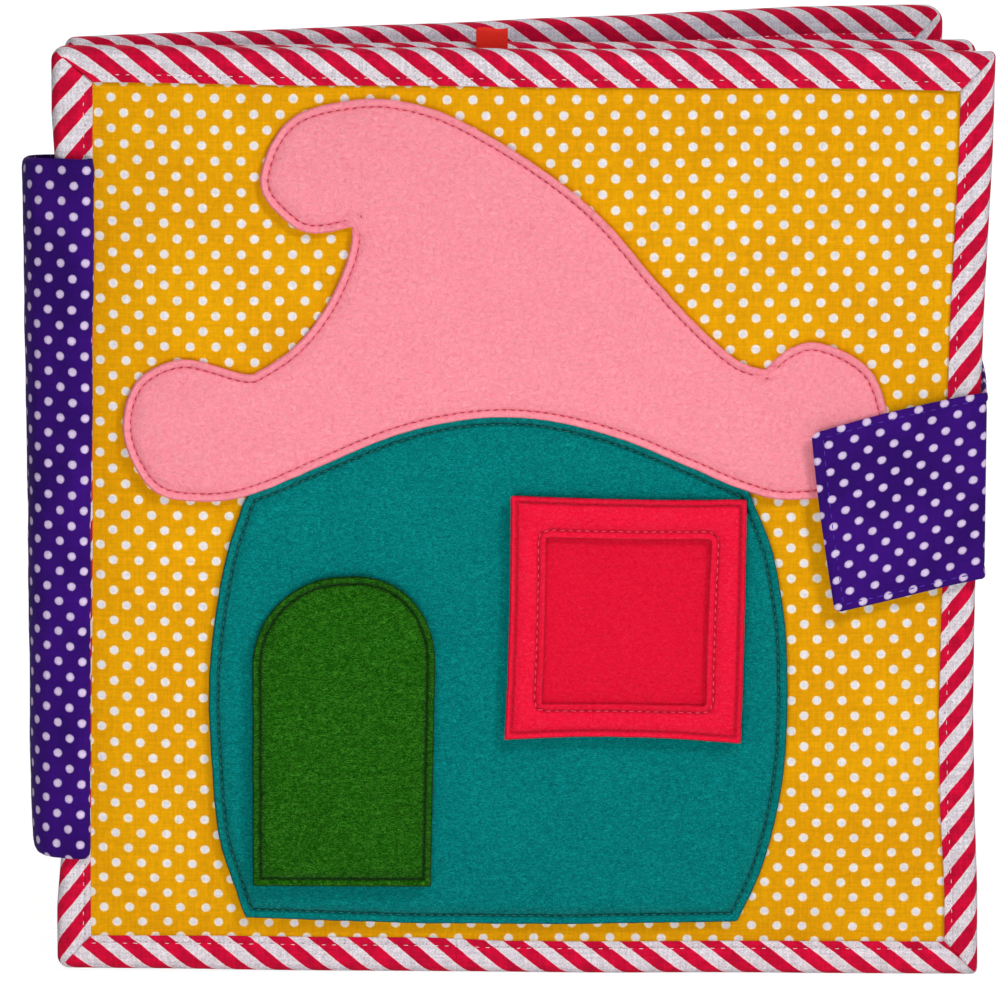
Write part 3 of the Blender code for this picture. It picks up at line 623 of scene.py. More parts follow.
# %% Edges that are sewn by hand and eye
TAPE_WIDTH = 7.5 * MM
FADE = 45 * MM
LEFT_EDGE = ((0, -1.4, -1.2), (14, -1.4, -1.2), (27, -0.3, -1.1), (90, 0, -0.4), (178, -0.3, 0.2), (194, -1.4, 0.3),
             (209, -1.4, 0.3))
RIGHT_EDGE = ((0, 0.65, 0.6), (19, 0.45, 0.4), (38, -0.45, -0.9), (61, -1.1, -1.5), (79, -1.1, -1.2),
              (133, -0.4, -0.3), (151, 0, 0), (174, 0.9, 0.9), (187, 1.45, 1.4), (209, 1.8, 1.8))
LOWER_EDGE = ((0, 0.6, 1.0), (40, 0.3, 1.0), (82, 0, 0.8), (99, 0, 0.1), (205, 0, 0.4))
UPPER_EDGE = ((0, 1.2, 1.1), (20, 1.35, 0.9), (55, 1.0, 0.5), (121, 0.8, 0.1), (166, 1.2, 0.3), (184, 1.1, 0),
              (205, 0.6, -0.5))
# The middle leaf (1) and the back cover (2): how far their tops are raised, at mm along them, and how much
# narrower they are sewn, in mm.
LEAF_TOPS = {1: ((0, 0), (0.3, 120), (0.3, 205)), 2: ((0.9, 0), (0.9, 130), (1.4, 170), (1.0, 195), (0.5, 205))}
LEAF_NARROW = {1: 1.2, 2: 0.7}


def edge_shift(table, along, depth):
    """How far an edge is moved, from its table of place, outer shift and shift inside the tape, all in mm."""
    at, outer, inner = np.array(table).T * MM
    share = np.clip(depth / TAPE_WIDTH, 0, 1)
    fade = np.clip((depth - TAPE_WIDTH) / FADE, 0, 1)
    shift = np.interp(along, at, outer) * (1 - share) + np.interp(along, at, inner) * share
    return shift * (1 - fade * fade * (3 - 2 * fade))


def front_trued(x, z):
    """Places on the front cover, moved as its edges are sewn: not quite straight and not quite square."""
    moved_x = x + edge_shift(LEFT_EDGE, z, x) + edge_shift(RIGHT_EDGE, z, WIDTH - x)
    return moved_x, z + edge_shift(LOWER_EDGE, x, z) + edge_shift(UPPER_EDGE, x, HEIGHT - z)


# %% The cotton face of a leaf
PANEL_STEP = 2.0 * MM
PANEL_FACE = 2.0 * MM
COTTON = 0.6 * MM
DOT_SHIFT = (2.31, -1.2)


def panel(node, place, body, side, height, cotton, slot, seed):
    """A cotton laid over the padding. side is -1 on a leaf's near face and 1 on its far face."""
    xs = np.linspace(PAD_INSET, WIDTH - PAD_INSET, round((WIDTH - 2 * PAD_INSET) / PANEL_STEP) + 1)
    zs = np.linspace(PAD_INSET, HEIGHT - PAD_INSET, round((HEIGHT - 2 * PAD_INSET) / PANEL_STEP) + 1)
    x, z = (a.ravel() for a in np.meshgrid(xs, zs, indexing="ij"))
    flat = np.stack([x, np.zeros_like(x), z], -1)
    from_tape = np.minimum(np.minimum(x, WIDTH - x), np.minimum(z, HEIGHT - z)) - TAPE_WIDTH
    pucker = 0.16 * MM * ripple(flat, 5 * MM, seed) * np.exp(-np.maximum(from_tape, 0) / (5 * MM))
    soft = 0.16 * MM * ripple(flat, 22 * MM, seed + 3)
    level = PANEL_FACE + height * crown(x, z) + np.where(from_tape > 0, pucker + soft, 0)
    if node == "front_cover_panel":
        x, z = front_trued(x, z)
    uv = np.stack([x, z], -1) / MM + DOT_SHIFT
    points = np.stack([x, side * level, z], -1)
    made = mesh_object(node + "_cotton", points, grid_faces(len(xs), len(zs), turned=side > 0), uv)
    apply_modifier(made, "SOLIDIFY", thickness=COTTON, offset=-1)
    finish_cloth(made, cotton, place)
    dress(made, slot, node, body=body)


LEAVES = (
    ("front_cover", front_frame, "front_cover",
     ("front_cover_panel", yellow_cotton, "yellow_dot_cotton", OUTER_CROWN),
     ("front_cover_lining", blue_cotton, "blue_cotton", INNER_CROWN)),
    ("middle_leaf", middle_frame, "spine",
     ("middle_leaf_front_panel", blue_cotton, "blue_cotton", INNER_CROWN),
     ("middle_leaf_rear_panel", blue_cotton, "blue_cotton", INNER_CROWN)),
    ("back_cover", back_frame, "back_cover",
     ("back_cover_lining", blue_cotton, "blue_cotton", INNER_CROWN),
     ("back_cover_panel", yellow_cotton, "yellow_dot_cotton", OUTER_CROWN)),
)
for number, (leaf, place, body, near, far) in enumerate(LEAVES):
    filled = pad(leaf, place, body, near[3], far[3])
    for side, (node, cotton, slot, height) in ((-1, near), (1, far)):
        panel(node, place, body, side, height, cotton, slot, 7 * number + side)
    print(leaf, "has wadding between", near[0], "and", far[0])

# %% [markdown]
# ## Stitches
# A sewing machine leaves a row of short threads that dip into the cloth at each needle hole. Each one is a small
# arched tube of 38 faces, modelled once and copied along the seam, one mesh for a whole row. The real stitches
# are about 2.2 mm apart, and the thread is 0.3 mm thick.

# %% One stitch, and a row of them
STITCH_RINGS = (-1, -0.85, -0.45, 0, 0.45, 0.85, 1)
STITCH_SIDES = 6


def stitch_shape(arch):
    """A stitch along x as points and faces. Its length is 1, its thickness is 2, and it bulges towards +z."""
    points = []
    for t in STITCH_RINGS:
        thick = math.sqrt(1.05 - t ** 4)
        for j in range(STITCH_SIDES):
            turn = 2 * math.pi * j / STITCH_SIDES
            points.append((t / 2, thick * math.cos(turn), arch * (1 - t * t) - 0.5 * arch + thick * math.sin(turn)))
    return np.array(points), tube_faces(len(STITCH_RINGS), STITCH_SIDES)


def sew(name, centres, alongs, outs, thread, place, length=1.7 * MM, thick=0.34 * MM, arch=1.2, unevenness=0.06):
    """One mesh of stitches at the centres. alongs and outs are the directions of the seam and of the surface."""
    shape, shape_faces = stitch_shape(arch)
    chance = random.Random(name)
    points, faces = [], []
    for centre, along, out in zip(centres, alongs, outs):
        along = along / np.linalg.norm(along)
        across = np.cross(out, along)
        across = across / np.linalg.norm(across)
        along = along + across * chance.gauss(0, unevenness)
        out = np.cross(along, across)
        size = length * (1 + chance.gauss(0, unevenness))
        start = len(points) * len(shape)
        faces.extend(tuple(start + i for i in face) for face in shape_faces)
        half = thick / 2
        points.append(centre + np.outer(shape[:, 0] * size, along) + np.outer(shape[:, 1] * half, across)
                      + np.outer(shape[:, 2] * half, out))
    made = mesh_object(name, np.concatenate(points), faces)
    finish_cloth(made, thread, place, smooth_under=70)
    return made


def walk(path, pitch, closed=True):
    """Points every pitch along a line of points, and the directions there."""
    line = np.concatenate([path, path[:1]]) if closed else np.asarray(path)
    length = way_along(line)[-1]
    count = max(int(round(length / pitch)), 1)
    marks = (np.arange(count) + 0.5) * length / count
    return points_at(line, marks), points_at(line, marks + pitch / 4) - points_at(line, marks - pitch / 4)


def seam_on(path, level, pitch):
    """Stitch places on the cover's front: path is its x and z, and level gives the face's height there."""
    flat, ahead = walk(path, pitch)
    probe = 0.3 * MM
    x, z = flat.T
    height = level(x, z)
    slope_x = (level(x + probe, z) - level(x - probe, z)) / (2 * probe)
    slope_z = (level(x, z + probe) - level(x, z - probe)) / (2 * probe)
    centres = np.stack([x, -height, z], -1)
    rising = slope_x * ahead[:, 0] + slope_z * ahead[:, 1]
    alongs = np.stack([ahead[:, 0], -rising, ahead[:, 1]], -1)
    outs = np.stack([-slope_x, np.full_like(x, -1), -slope_z], -1)
    return centres, alongs, outs


# %% [markdown]
# ## The bindings
# A bias tape is folded round each leaf's raw edges and topstitched from the front. At the corners it is folded
# into a mitre, so that the two sides meet on a diagonal, and outside it turns round a small radius. The tape is
# one section swept round the leaf, with its own lengthwise UV on each side, so that the stripes break at the mitre.

# %% Tape round a leaf
TAPE_SECTION = (
    (7.5, 2.62), (7.35, 2.95), (6.4, 3.0), (5.85, 2.70), (5.3, 3.0), (4.2, 3.2), (3.0, 3.3), (2.0, 3.3),
    (1.2, 3.05), (0.6, 2.5), (0.2, 1.7), (0.03, 0.8), (0, 0),
)
TAPE_CLOTH = 0.6 * MM
TAPE_STEP = 2.0 * MM
CORNER_RADII = {"front_cover": (2.6, 1.25, 1.0, 3.0), "middle_leaf": (2.5, 2.5, 3.0, 2.5),
                "back_cover": (2.5, 2.5, 3.5, 2.5)}
MITRE_STEPS = 3
INNER_TOP = 3.12
OUTER_TOP = 3.3
BACK_NARROWER = 0.97
SIDE_LENGTHS = (WIDTH, HEIGHT, WIDTH, HEIGHT)
STITCH_ROW, STITCH_LEVEL = (value * MM for value in TAPE_SECTION[3])


def tape_rows(near_top, far_top, wide):
    """The tape's section from its near edge round to its far edge: inset, level, and the way round it in mm."""
    near = [(inset * wide, -min(level, near_top)) for inset, level in TAPE_SECTION]
    far = [(inset * wide, min(level, far_top)) for inset, level in TAPE_SECTION[-2::-1]]
    section = np.array(near + far) * MM
    return section[:, 0], section[:, 1], way_along(section) / MM


def mitre(inset, level, radius, lips):
    """The stations of a side's end, from its mitre inwards: distance from the corner, inset and level of each row.
    lips raises or sinks each station, so that one side's fold lies over the other's."""
    beyond = np.maximum(inset - radius, 0)
    arc = np.maximum(radius - inset, 0)
    stations = []
    for step, lip in enumerate(lips):
        turn = math.pi / 4 * (1 - step / MITRE_STEPS)
        stations.append((np.maximum(inset, radius) - arc * math.sin(turn) + step / MITRE_STEPS * 0.25 * beyond,
                         np.where(arc > 0, radius - arc * math.cos(turn), inset),
                         level + np.sign(level) * np.where(beyond > 0, lip * MM, 0)))
    return stations


def tape_side(side, inset, level, radii):
    """One side from mitre to mitre. Gives distance along it, inset and level for every station and row."""
    length = SIDE_LENGTHS[side]
    lips = ((-0.5, 0.2, 0.16, 0.05), (-0.5, -0.14, 0, 0))[side % 2]
    first = mitre(inset, level, radii[side] * MM, lips)
    last = mitre(inset, level, radii[(side + 1) % 4] * MM, lips)[::-1]
    count = round(length / TAPE_STEP)
    start, end = first[-1][0], length - last[0][0]
    middle = [(start + (end - start) * k / count, inset, level) for k in range(1, count)]
    return (np.array(column) for column in zip(*first, *middle, *((length - reach, depth, high)
                                                                  for reach, depth, high in last)))


def on_side(side, along, depth):
    """The x and z on a leaf of a point on one of its sides, which run round it from the lower spine corner."""
    if side == 0:
        return along, depth
    if side == 1:
        return WIDTH - depth, along
    if side == 2:
        return WIDTH - along, HEIGHT - depth
    return depth, HEIGHT - along


def wavy(points, seed):
    """Sewn edges are never quite straight. All that is sewn together moves the same way. Seed 0 is the front."""
    flat = points * (1, 0, 1)
    moved = points.copy()
    if seed == 0:
        moved[:, 0], moved[:, 2] = front_trued(points[:, 0], points[:, 2])
    else:
        raised, at = np.array(LEAF_TOPS[seed]).T * MM
        upper = np.clip((points[:, 2] - HEIGHT / 2) / (HEIGHT / 2), 0, 1)
        moved[:, 2] += np.interp(points[:, 0], at, raised) * upper ** 2
        moved[:, 0] -= LEAF_NARROW[seed] * MM * np.clip(points[:, 0] / WIDTH, 0, 1) ** 2
    reach = (0.45 if seed else 0.2) * MM
    moved[:, 0] += reach * ripple(flat, 34 * MM, seed)
    moved[:, 2] += reach * ripple(flat, 34 * MM, seed + 9)
    return moved


def binding(leaf, place, body, near_top, far_top, rests_on, seed):
    """The striped tape of one leaf."""
    inset, level, way = tape_rows(near_top, far_top, BACK_NARROWER if leaf == "back_cover" else 1)
    rings, uvs, walked = [], [], 0
    for side in range(4):
        along, depth, y = tape_side(side, inset, level, CORNER_RADII[leaf])
        x, z = on_side(side, along, depth)
        rings.append(np.stack([x, y, z], -1)[:-1])
        uvs.append(np.stack([along / MM + walked, np.broadcast_to(way, along.shape)], -1))
        walked += SIDE_LENGTHS[side] / MM
    ring = np.concatenate(rings)
    count, rows = ring.shape[:2]
    faces, face_uv, start = [], [], 0
    for uv in uvs:
        for i in range(len(uv) - 1):
            a, b = (start + i) * rows, (start + i + 1) % count * rows
            for j in range(rows - 1):
                faces.append((a + j, a + j + 1, b + j + 1, b + j))
                face_uv.extend((uv[i, j], uv[i, j + 1], uv[i + 1, j + 1], uv[i + 1, j]))
        start += len(uv) - 1
    points = wavy(ring.reshape(-1, 3), seed)
    points[:, 1] += np.sign(points[:, 1]) * 0.1 * MM * ripple(points, 4 * MM, seed)
    made = mesh_object(leaf + "_tape", points, faces, face_uv=face_uv)
    apply_modifier(made, "SOLIDIFY", thickness=TAPE_CLOTH, offset=-1)
    finish_cloth(made, tape, place)
    dress(made, "striped_binding", leaf + "_binding", body=body)


def tape_stitches(leaf, place, body, side_of_leaf, seed):
    """The topstitching near the tape's inner edge, on one face of a leaf. Stitches lie between needle holes."""
    level = STITCH_LEVEL + 0.04 * MM
    centres, alongs, walked = [], [], 0
    for side, length in enumerate(SIDE_LENGTHS):
        first = math.ceil((walked + STITCH_ROW) / MM / NEEDLE_PITCH)
        last = math.floor((walked + length - STITCH_ROW) / MM / NEEDLE_PITCH)
        for k in range(first, last):
            here = (k + 0.5) * NEEDLE_PITCH * MM - walked
            x, z = on_side(side, here, STITCH_ROW)
            ahead_x, ahead_z = on_side(side, here + MM, STITCH_ROW)
            centres.append((x, side_of_leaf * level, z))
            alongs.append((ahead_x - x, 0, ahead_z - z))
        walked += length
    centres = wavy(np.array(centres), seed)
    outs = np.tile((0, side_of_leaf, 0), (len(centres), 1))
    face = "near" if side_of_leaf < 0 else "far"
    made = sew(f"{leaf}_tape_stitches_{face}", centres, np.array(alongs), outs, white_thread, place,
               length=0.9 * MM, thick=0.16 * MM, arch=0.4)
    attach(made, body)
    return made


for number, (leaf, place, body, near, far) in enumerate(LEAVES):
    tops = [OUTER_TOP if height == OUTER_CROWN else INNER_TOP for height in (near[3], far[3])]
    binding(leaf, place, body, *tops, [near[0] + "_cotton", far[0] + "_cotton"], number)
    rows = [tape_stitches(leaf, place, body, side, number) for side in (-1, 1)]
    print(leaf, "is bound, with", [len(row.data.polygons) for row in rows], "stitch faces")

# %% [markdown]
# ## Felt shapes
# Felt doesn't fray, so it is cut to a shape and sewn down near its raw edge without a hem. The seam pulls a small
# groove, and the edge outside it stands up a little. Each shape is filled with points that follow its outline, so
# that the groove is crisp, then meshed by Delaunay triangles and given the felt's thickness.

# %% Cut a felt shape
FELT_STEP = 2.2
EDGE_STEP = 0.8
EDGE_ROLL = 0.4
GROOVE_SIDE = 0.6
CLEAR_OF_SEAM = 1.4
# How far the painted shade reaches from a seam line and from a cut edge, in mm.
SHADE_REACH = 0.35


def around(outline, step):
    """A closed outline with a point every step, counter-clockwise."""
    line = np.asarray(outline, float)
    after = np.roll(line, -1, 0)
    if (line[:, 0] * after[:, 1] - line[:, 1] * after[:, 0]).sum() < 0:
        line = line[::-1]
    line = np.concatenate([line, line[:1]])
    length = way_along(line)[-1]
    return points_at(line, np.linspace(0, length, int(length / step) + 1)[:-1])


def normals(line):
    """The directions into a counter-clockwise outline."""
    ahead = np.roll(line, -1, 0) - np.roll(line, 1, 0)
    inward = np.stack([-ahead[:, 1], ahead[:, 0]], -1)
    return inward / np.linalg.norm(inward, axis=1, keepdims=True)


def edge_distance(points, outline):
    """How far points are from an outline."""
    a, b = outline, np.roll(outline, -1, 0)
    reach = b - a
    share = ((points[:, None] - a) * reach).sum(-1) / (reach * reach).sum(-1)
    nearest = a + np.clip(share, 0, 1)[..., None] * reach
    return np.linalg.norm(points[:, None] - nearest, axis=-1).min(1)


def is_inside(points, outline):
    """Which points lie inside an outline."""
    x, z = points[:, 0, None], points[:, 1, None]
    (ax, az), (bx, bz) = outline.T, np.roll(outline, -1, 0).T
    spans = (az > z) != (bz > z)
    with np.errstate(divide="ignore", invalid="ignore"):
        left = x < (bx - ax) * (z - az) / (bz - az) + ax
    return (spans & left).sum(1) % 2 == 1


def inset_line(outline, reach, inward=1, notches=()):
    """An outline moved inwards, without the points that corners would make it cross itself with. Past a notch the
    line goes on straight from both sides, as a sewer turns the cloth at the needle."""
    inwards = inward * normals(outline)
    moved = outline + reach * inwards
    kept = edge_distance(moved, outline) > reach - 0.06
    for notch in notches:
        nearest = int(np.linalg.norm(outline - notch, axis=1).argmin())
        near = [(nearest + k) % len(outline) for k in range(-2, 3)]
        before, after = inwards[(nearest - 3) % len(outline)], inwards[(nearest + 3) % len(outline)]
        kept[near] = False
        kept[nearest] = True
        moved[nearest] = notch + reach * (before + after) / (1 + before @ after)
    return moved[kept]


def cut_ragged(line, seed):
    """An outline as scissors leave it, up to 0.1 mm off."""
    uneven = ripple(np.stack([line[:, 0], line[:, 1], line[:, 0] * 0], -1), 2.6, seed)
    return line + normals(line) * 0.1 * uneven[:, None]


def felt(name, outlines, level, seams, thickness, material, seed, groove, broad, puff, notches=()):
    """Cut felt on the front cover. The first outline, in mm, is its edge and others are holes. level is its
    face's height in metres. seams gives each outline's seam inset. groove is how deep the seam pulls it, broad how
    wide, and puff how much it swells beside the seam. Gives the piece, its flat area and its flat size."""
    ragged = [cut_ragged(line, seed) for line in outlines]
    rows, sewn = list(ragged), []
    for number, (line, seam) in enumerate(zip(ragged, seams)):
        inward = -1 if number else 1
        for reach in (EDGE_ROLL, seam - GROOVE_SIDE, seam + GROOVE_SIDE):
            rows.append(inset_line(line, reach, inward, notches))
        sewn.append(inset_line(line, seam, inward, notches))
    rows += sewn
    low, high = ragged[0].min(0), ragged[0].max(0)
    grid = np.stack(np.meshgrid(*(np.arange(a, b, FELT_STEP) for a, b in zip(low, high))), -1).reshape(-1, 2)
    grid[:, 0] += np.round((grid[:, 1] - low[1]) / FELT_STEP) % 2 * FELT_STEP / 2
    clear = is_inside(grid, ragged[0])
    for number, (line, seam) in enumerate(zip(ragged, seams)):
        clear &= edge_distance(grid, line) > seam + CLEAR_OF_SEAM
        if number:
            clear &= ~is_inside(grid, line)
    flat = np.concatenate(rows + [grid[clear]])
    edges, start = [], 0
    for line in ragged:
        edges += [(start + i, start + (i + 1) % len(line)) for i in range(len(line))]
        start += len(line)
    found = delaunay_2d_cdt([Vector(point) for point in flat], edges, [], 0, 1e-5)
    flat = np.array([tuple(point) for point in found[0]])
    faces = np.array(found[2])
    middles = flat[faces].mean(1)
    kept = is_inside(middles, ragged[0])
    for line in ragged[1:]:
        kept &= ~is_inside(middles, line)
    faces = faces[kept]
    used = np.unique(faces)
    renumber = np.zeros(len(flat), int)
    renumber[used] = np.arange(len(used))
    flat, faces = flat[used], renumber[faces]
    dip, pressed = np.zeros(len(flat)), np.zeros(len(flat))
    for line, path, seam in zip(ragged, sewn, seams):
        reach, off_seam = edge_distance(flat, line), edge_distance(flat, path)
        # Painted shade in the seam's groove and along the cut edge, which the felt's material draws darker.
        pressed += np.exp(-(off_seam / SHADE_REACH) ** 2) + np.clip(1 - reach / SHADE_REACH, 0, 1)
        dip += groove * np.exp(-(off_seam / broad) ** 2) + EDGE_ROLL * np.clip(1 - reach / EDGE_ROLL, 0, 1) ** 2
        dip -= puff * (np.exp(-((reach - seam / 2 + 0.1) / 0.6) ** 2) + np.exp(-((reach - seam - 1.6) / 0.9) ** 2))
    x, z = flat.T * MM
    soft = 0.14 * MM * ripple(np.stack([x, x * 0, z], -1), 13 * MM, seed)
    height = level(x, z) - dip * MM + soft
    made = mesh_object(name, np.stack([x, -height, z], -1), faces, flat)
    made.data.attributes.new("pressed", "FLOAT", "POINT").data.foreach_set("value", np.clip(pressed, 0, 1))
    (ax, az), (bx, bz), (cx, cz) = (flat[faces[:, k]].T * MM for k in range(3))
    area = float(np.abs((bx - ax) * (cz - az) - (cx - ax) * (bz - az)).sum() / 2)
    apply_modifier(made, "SOLIDIFY", thickness=thickness, offset=-1)
    finish_cloth(made, material, front_frame)
    return made, area, tuple((high - low) * MM)


# %% Outlines of the roof and the wall, in mm on the front cover
ROOF_BOX = (-0.4288, 0.5163, 0.8249, 0.4368)
WALL_BOX = (-0.3381, 0.0612, 0.6288, 0.4627)
WALL_TOP = (-0.3015, 0.2512)
ROOF_TOP = (
    (0.299, 0.691), (0.250, 0.674), (0.215, 0.700), (0.179, 0.785), (0.195, 0.900), (0.235, 0.970),
    (0.315, 1.000), (0.376, 0.990), (0.442, 0.947), (0.538, 0.843), (0.622, 0.719), (0.695, 0.562),
    (0.751, 0.450), (0.803, 0.366), (0.839, 0.343),
)
ROOF_EAVE = (
    (0.839, 0.343), (0.866, 0.390), (0.905, 0.411), (0.960, 0.369), (0.990, 0.298), (0.998, 0.175),
    (0.948, 0.052), (0.873, 0.021), (0.808, 0.048), (0.738, 0.104), (0.647, 0.173), (0.545, 0.218),
    (0.452, 0.218), (0.358, 0.179), (0.266, 0.109), (0.175, 0.035), (0.108, 0.011), (0.037, 0.036),
    (-0.002, 0.170), (0.014, 0.302), (0.075, 0.362), (0.156, 0.328), (0.177, 0.336), (0.224, 0.398),
    (0.265, 0.496), (0.293, 0.616), (0.299, 0.691),
)
WALL_LEFT = (
    (0.058, 0.985), (0.023, 0.824), (0.000, 0.584), (0.005, 0.350), (0.016, 0.198), (0.039, 0.096),
    (0.061, 0.005),
)
WALL_RIGHT = (
    (0.917, 0.000), (0.958, 0.129), (0.985, 0.274), (0.998, 0.410), (1.000, 0.580), (0.994, 0.721),
    (0.972, 0.883), (0.940, 0.990),
)
WALL_FOOT = ((0.35, -0.007), (0.62, -0.008))
LEAF_WIDE = WIDTH / MM
LEAF_HIGH = HEIGHT / MM
MIDDLE = LEAF_WIDE / 2
WALL_TUCK = 0.5


def on_cover(shares, box):
    """Shares of a box on the cover as mm on it."""
    left, bottom, width, height = box
    return [(MIDDLE + LEAF_WIDE * (left + width * x), LEAF_HIGH * (bottom + height * z)) for x, z in shares]


def smooth_curve(points, steps=6):
    """Points on a smooth open curve through the given ones."""
    curve = []
    ends = [points[0]] + list(points) + [points[-1]]
    for a, b, c, d in zip(ends, ends[1:], ends[2:], ends[3:]):
        for step in range(steps):
            t = step / steps
            weights = (-t ** 3 + 2 * t ** 2 - t, 3 * t ** 3 - 5 * t ** 2 + 2, -3 * t ** 3 + 4 * t ** 2 + t,
                       t ** 3 - t ** 2)
            curve.append(tuple(sum(w * p[k] for w, p in zip(weights, (a, b, c, d))) / 2 for k in (0, 1)))
    return curve


eave = smooth_curve(on_cover(ROOF_EAVE, ROOF_BOX))
roof_edge = around(smooth_curve(on_cover(ROOF_TOP, ROOF_BOX)) + eave, EDGE_STEP)
wall_left, wall_right = on_cover(WALL_LEFT, WALL_BOX), on_cover(WALL_RIGHT, WALL_BOX)
top_left, top_right = (MIDDLE + LEAF_WIDE * share for share in WALL_TOP)
tallest = LEAF_HIGH * (ROOF_BOX[1] + ROOF_BOX[3] / 4)
over_wall = np.array([(x, z) for x, z in eave if z < tallest and top_left < x < top_right])
wall_sides_and_foot = (smooth_curve(wall_left) + [wall_left[-1]] + on_cover(WALL_FOOT, WALL_BOX)
                       + smooth_curve(wall_right) + [wall_right[-1]])
wall_edge = around(wall_sides_and_foot + [(x, z + WALL_TUCK) for x, z in over_wall], EDGE_STEP)
print("the roof's edge is", len(roof_edge), "points and the wall's", len(wall_edge))

# %% Lay the wall and the roof
FELT = 1.4 * MM
FELT_FACE = 3.75 * MM
ROOF_LIFT = 0.35 * MM


def wall_level(x, z):
    """The height of the wall's face on the cover."""
    return FELT_FACE + OUTER_CROWN * crown(x, z)


def roof_level(x, z):
    """The roof lies on the cover, and steps up over the wall's tucked edge."""
    line = over_wall[np.argsort(over_wall[:, 0])] * MM
    above = z - np.interp(x, line[:, 0], line[:, 1])
    aside = np.maximum(np.maximum(line[0, 0] - x, x - line[-1, 0]), 0)
    lift = np.exp(-np.maximum(above - (WALL_TUCK + 0.5) * MM, 0) / (5 * MM)) * np.exp(-(aside / (5 * MM)) ** 2)
    return wall_level(x, z) + ROOF_LIFT * lift


ROOF_SEAM = 1.75
WALL_SEAM = 2.0
NOTCHES = [np.array(on_cover([point], ROOF_BOX)[0]) for point in (ROOF_TOP[0], ROOF_TOP[-1])]
wall, area, size = felt("cottage_wall", [wall_edge], wall_level, [WALL_SEAM], FELT, teal_felt, 3,
                        groove=0.75, broad=0.5, puff=0.2)
dress(wall, "teal_felt", "wall_felt", body="front_cover")
roof, area, size = felt("cottage_roof", [roof_edge], roof_level, [ROOF_SEAM], FELT, pink_felt, 5,
                        groove=0.55, broad=0.45, puff=0.15, notches=NOTCHES)
dress(roof, "pink_felt", "roof_felt", body="front_cover")
print("wall and roof:", len(wall.data.polygons), "and", len(roof.data.polygons), "faces")

# %% Sew the wall and the roof
SEAM_PITCH = 1.85 * MM


def felt_seam(name, outline, reach, level, thread, inward=1, notches=(), sunk=0.36 * MM):
    """The stitches that hold a felt shape, along a line inside its edge. They lie sunk in its groove."""
    line = inset_line(outline, reach, inward, notches) * MM
    places = seam_on(line, lambda x, z: level(x, z) - sunk, SEAM_PITCH)
    return sew(name, *places, thread, front_frame, length=1.05 * MM, thick=0.21 * MM, arch=0.8, unevenness=0.1)


wall_seam = felt_seam("wall_stitches", wall_edge, WALL_SEAM, wall_level, teal_thread)
roof_seam = felt_seam("roof_stitches", roof_edge, ROOF_SEAM, roof_level, crimson_thread, notches=NOTCHES)
for seam in (wall_seam, roof_seam):
    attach(seam, "front_cover")
    print(seam.name, "has", len(seam.data.polygons), "faces")

# %% [markdown]
# ## The door and the window
# Both are two layers of felt sewn to the wall along their left edge only, so they lift like flaps. The window's
# upper layer has a square opening that shows the darker layer under it.
# The layer under the window is the same red felt as its frame, drawn darker as painted shade.

# %% Cut and hang the flaps
FLAP_FELT = 1.2 * MM
FLAP_BACK = 4.0 * MM
FLAP_FRONT = 5.5 * MM


def flap_level(back):
    """The height of a flap layer's face, for the level of its back."""
    return lambda x, z: back + FLAP_FELT + 0.05 * MM + OUTER_CROWN * crown(x, z)


def hang(piece):
    """Bake a flap piece's placement into its mesh."""
    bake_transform(piece)


def bowed(corners, bows, steps=14):
    """A closed outline through corners, whose sides bow outwards by so many mm, or inwards if negative."""
    line = []
    for (a, b), bow in zip(zip(corners, corners[1:] + corners[:1]), bows):
        a, b = np.array(a), np.array(b)
        out = np.array([(b - a)[1], -(b - a)[0]]) / np.linalg.norm(b - a)
        for k in range(steps):
            t = k / steps
            line.append(a + (b - a) * t + out * bow * 4 * t * (1 - t))
    return np.array(line)


DOOR_LEFT, DOOR_RIGHT, DOOR_FOOT_RIGHT = -59.6, -18.9, -19.8
DOOR_FOOT, DOOR_SPRING, DOOR_TOP = 21.6, 72.2, 92.6
DOOR_SEAM, WINDOW_SEAM, OPENING_SEAM = 1.7, 1.4, 1.75
FLAP_SEAM_SUNK = 0.58 * MM
BACK_WIDER = 0.25
arch = []
for turn in np.linspace(0, math.pi, 25):
    shoulder = 1.2 * math.sin(2 * turn) * (turn < math.pi / 2)
    arch.append(((DOOR_LEFT + DOOR_RIGHT) / 2 + (DOOR_RIGHT - DOOR_LEFT) / 2 * math.cos(turn) + 0.4 * shoulder,
                 DOOR_SPRING + (DOOR_TOP - DOOR_SPRING) * math.sin(turn) + shoulder))
door_edge = [(DOOR_LEFT, DOOR_FOOT), (DOOR_FOOT_RIGHT, DOOR_FOOT)] + arch
door_edge = around([(MIDDLE + x, z) for x, z in door_edge], EDGE_STEP)
WINDOW = [(-3.45, 55.6), (49.2, 54.9), (50.1, 110.5), (-2.25, 111.2)]
OPENING = [(4.95, 63.9), (41.25, 63.6), (42.25, 101.4), (5.75, 101.7)]
window_edge = around(bowed([(MIDDLE + x, z) for x, z in WINDOW], (-1.1, 0.2, -0.45, -0.4)), EDGE_STEP)
opening_edge = around(bowed([(MIDDLE + x, z) for x, z in OPENING], (-0.2, -0.2, -0.2, -0.2)), EDGE_STEP)

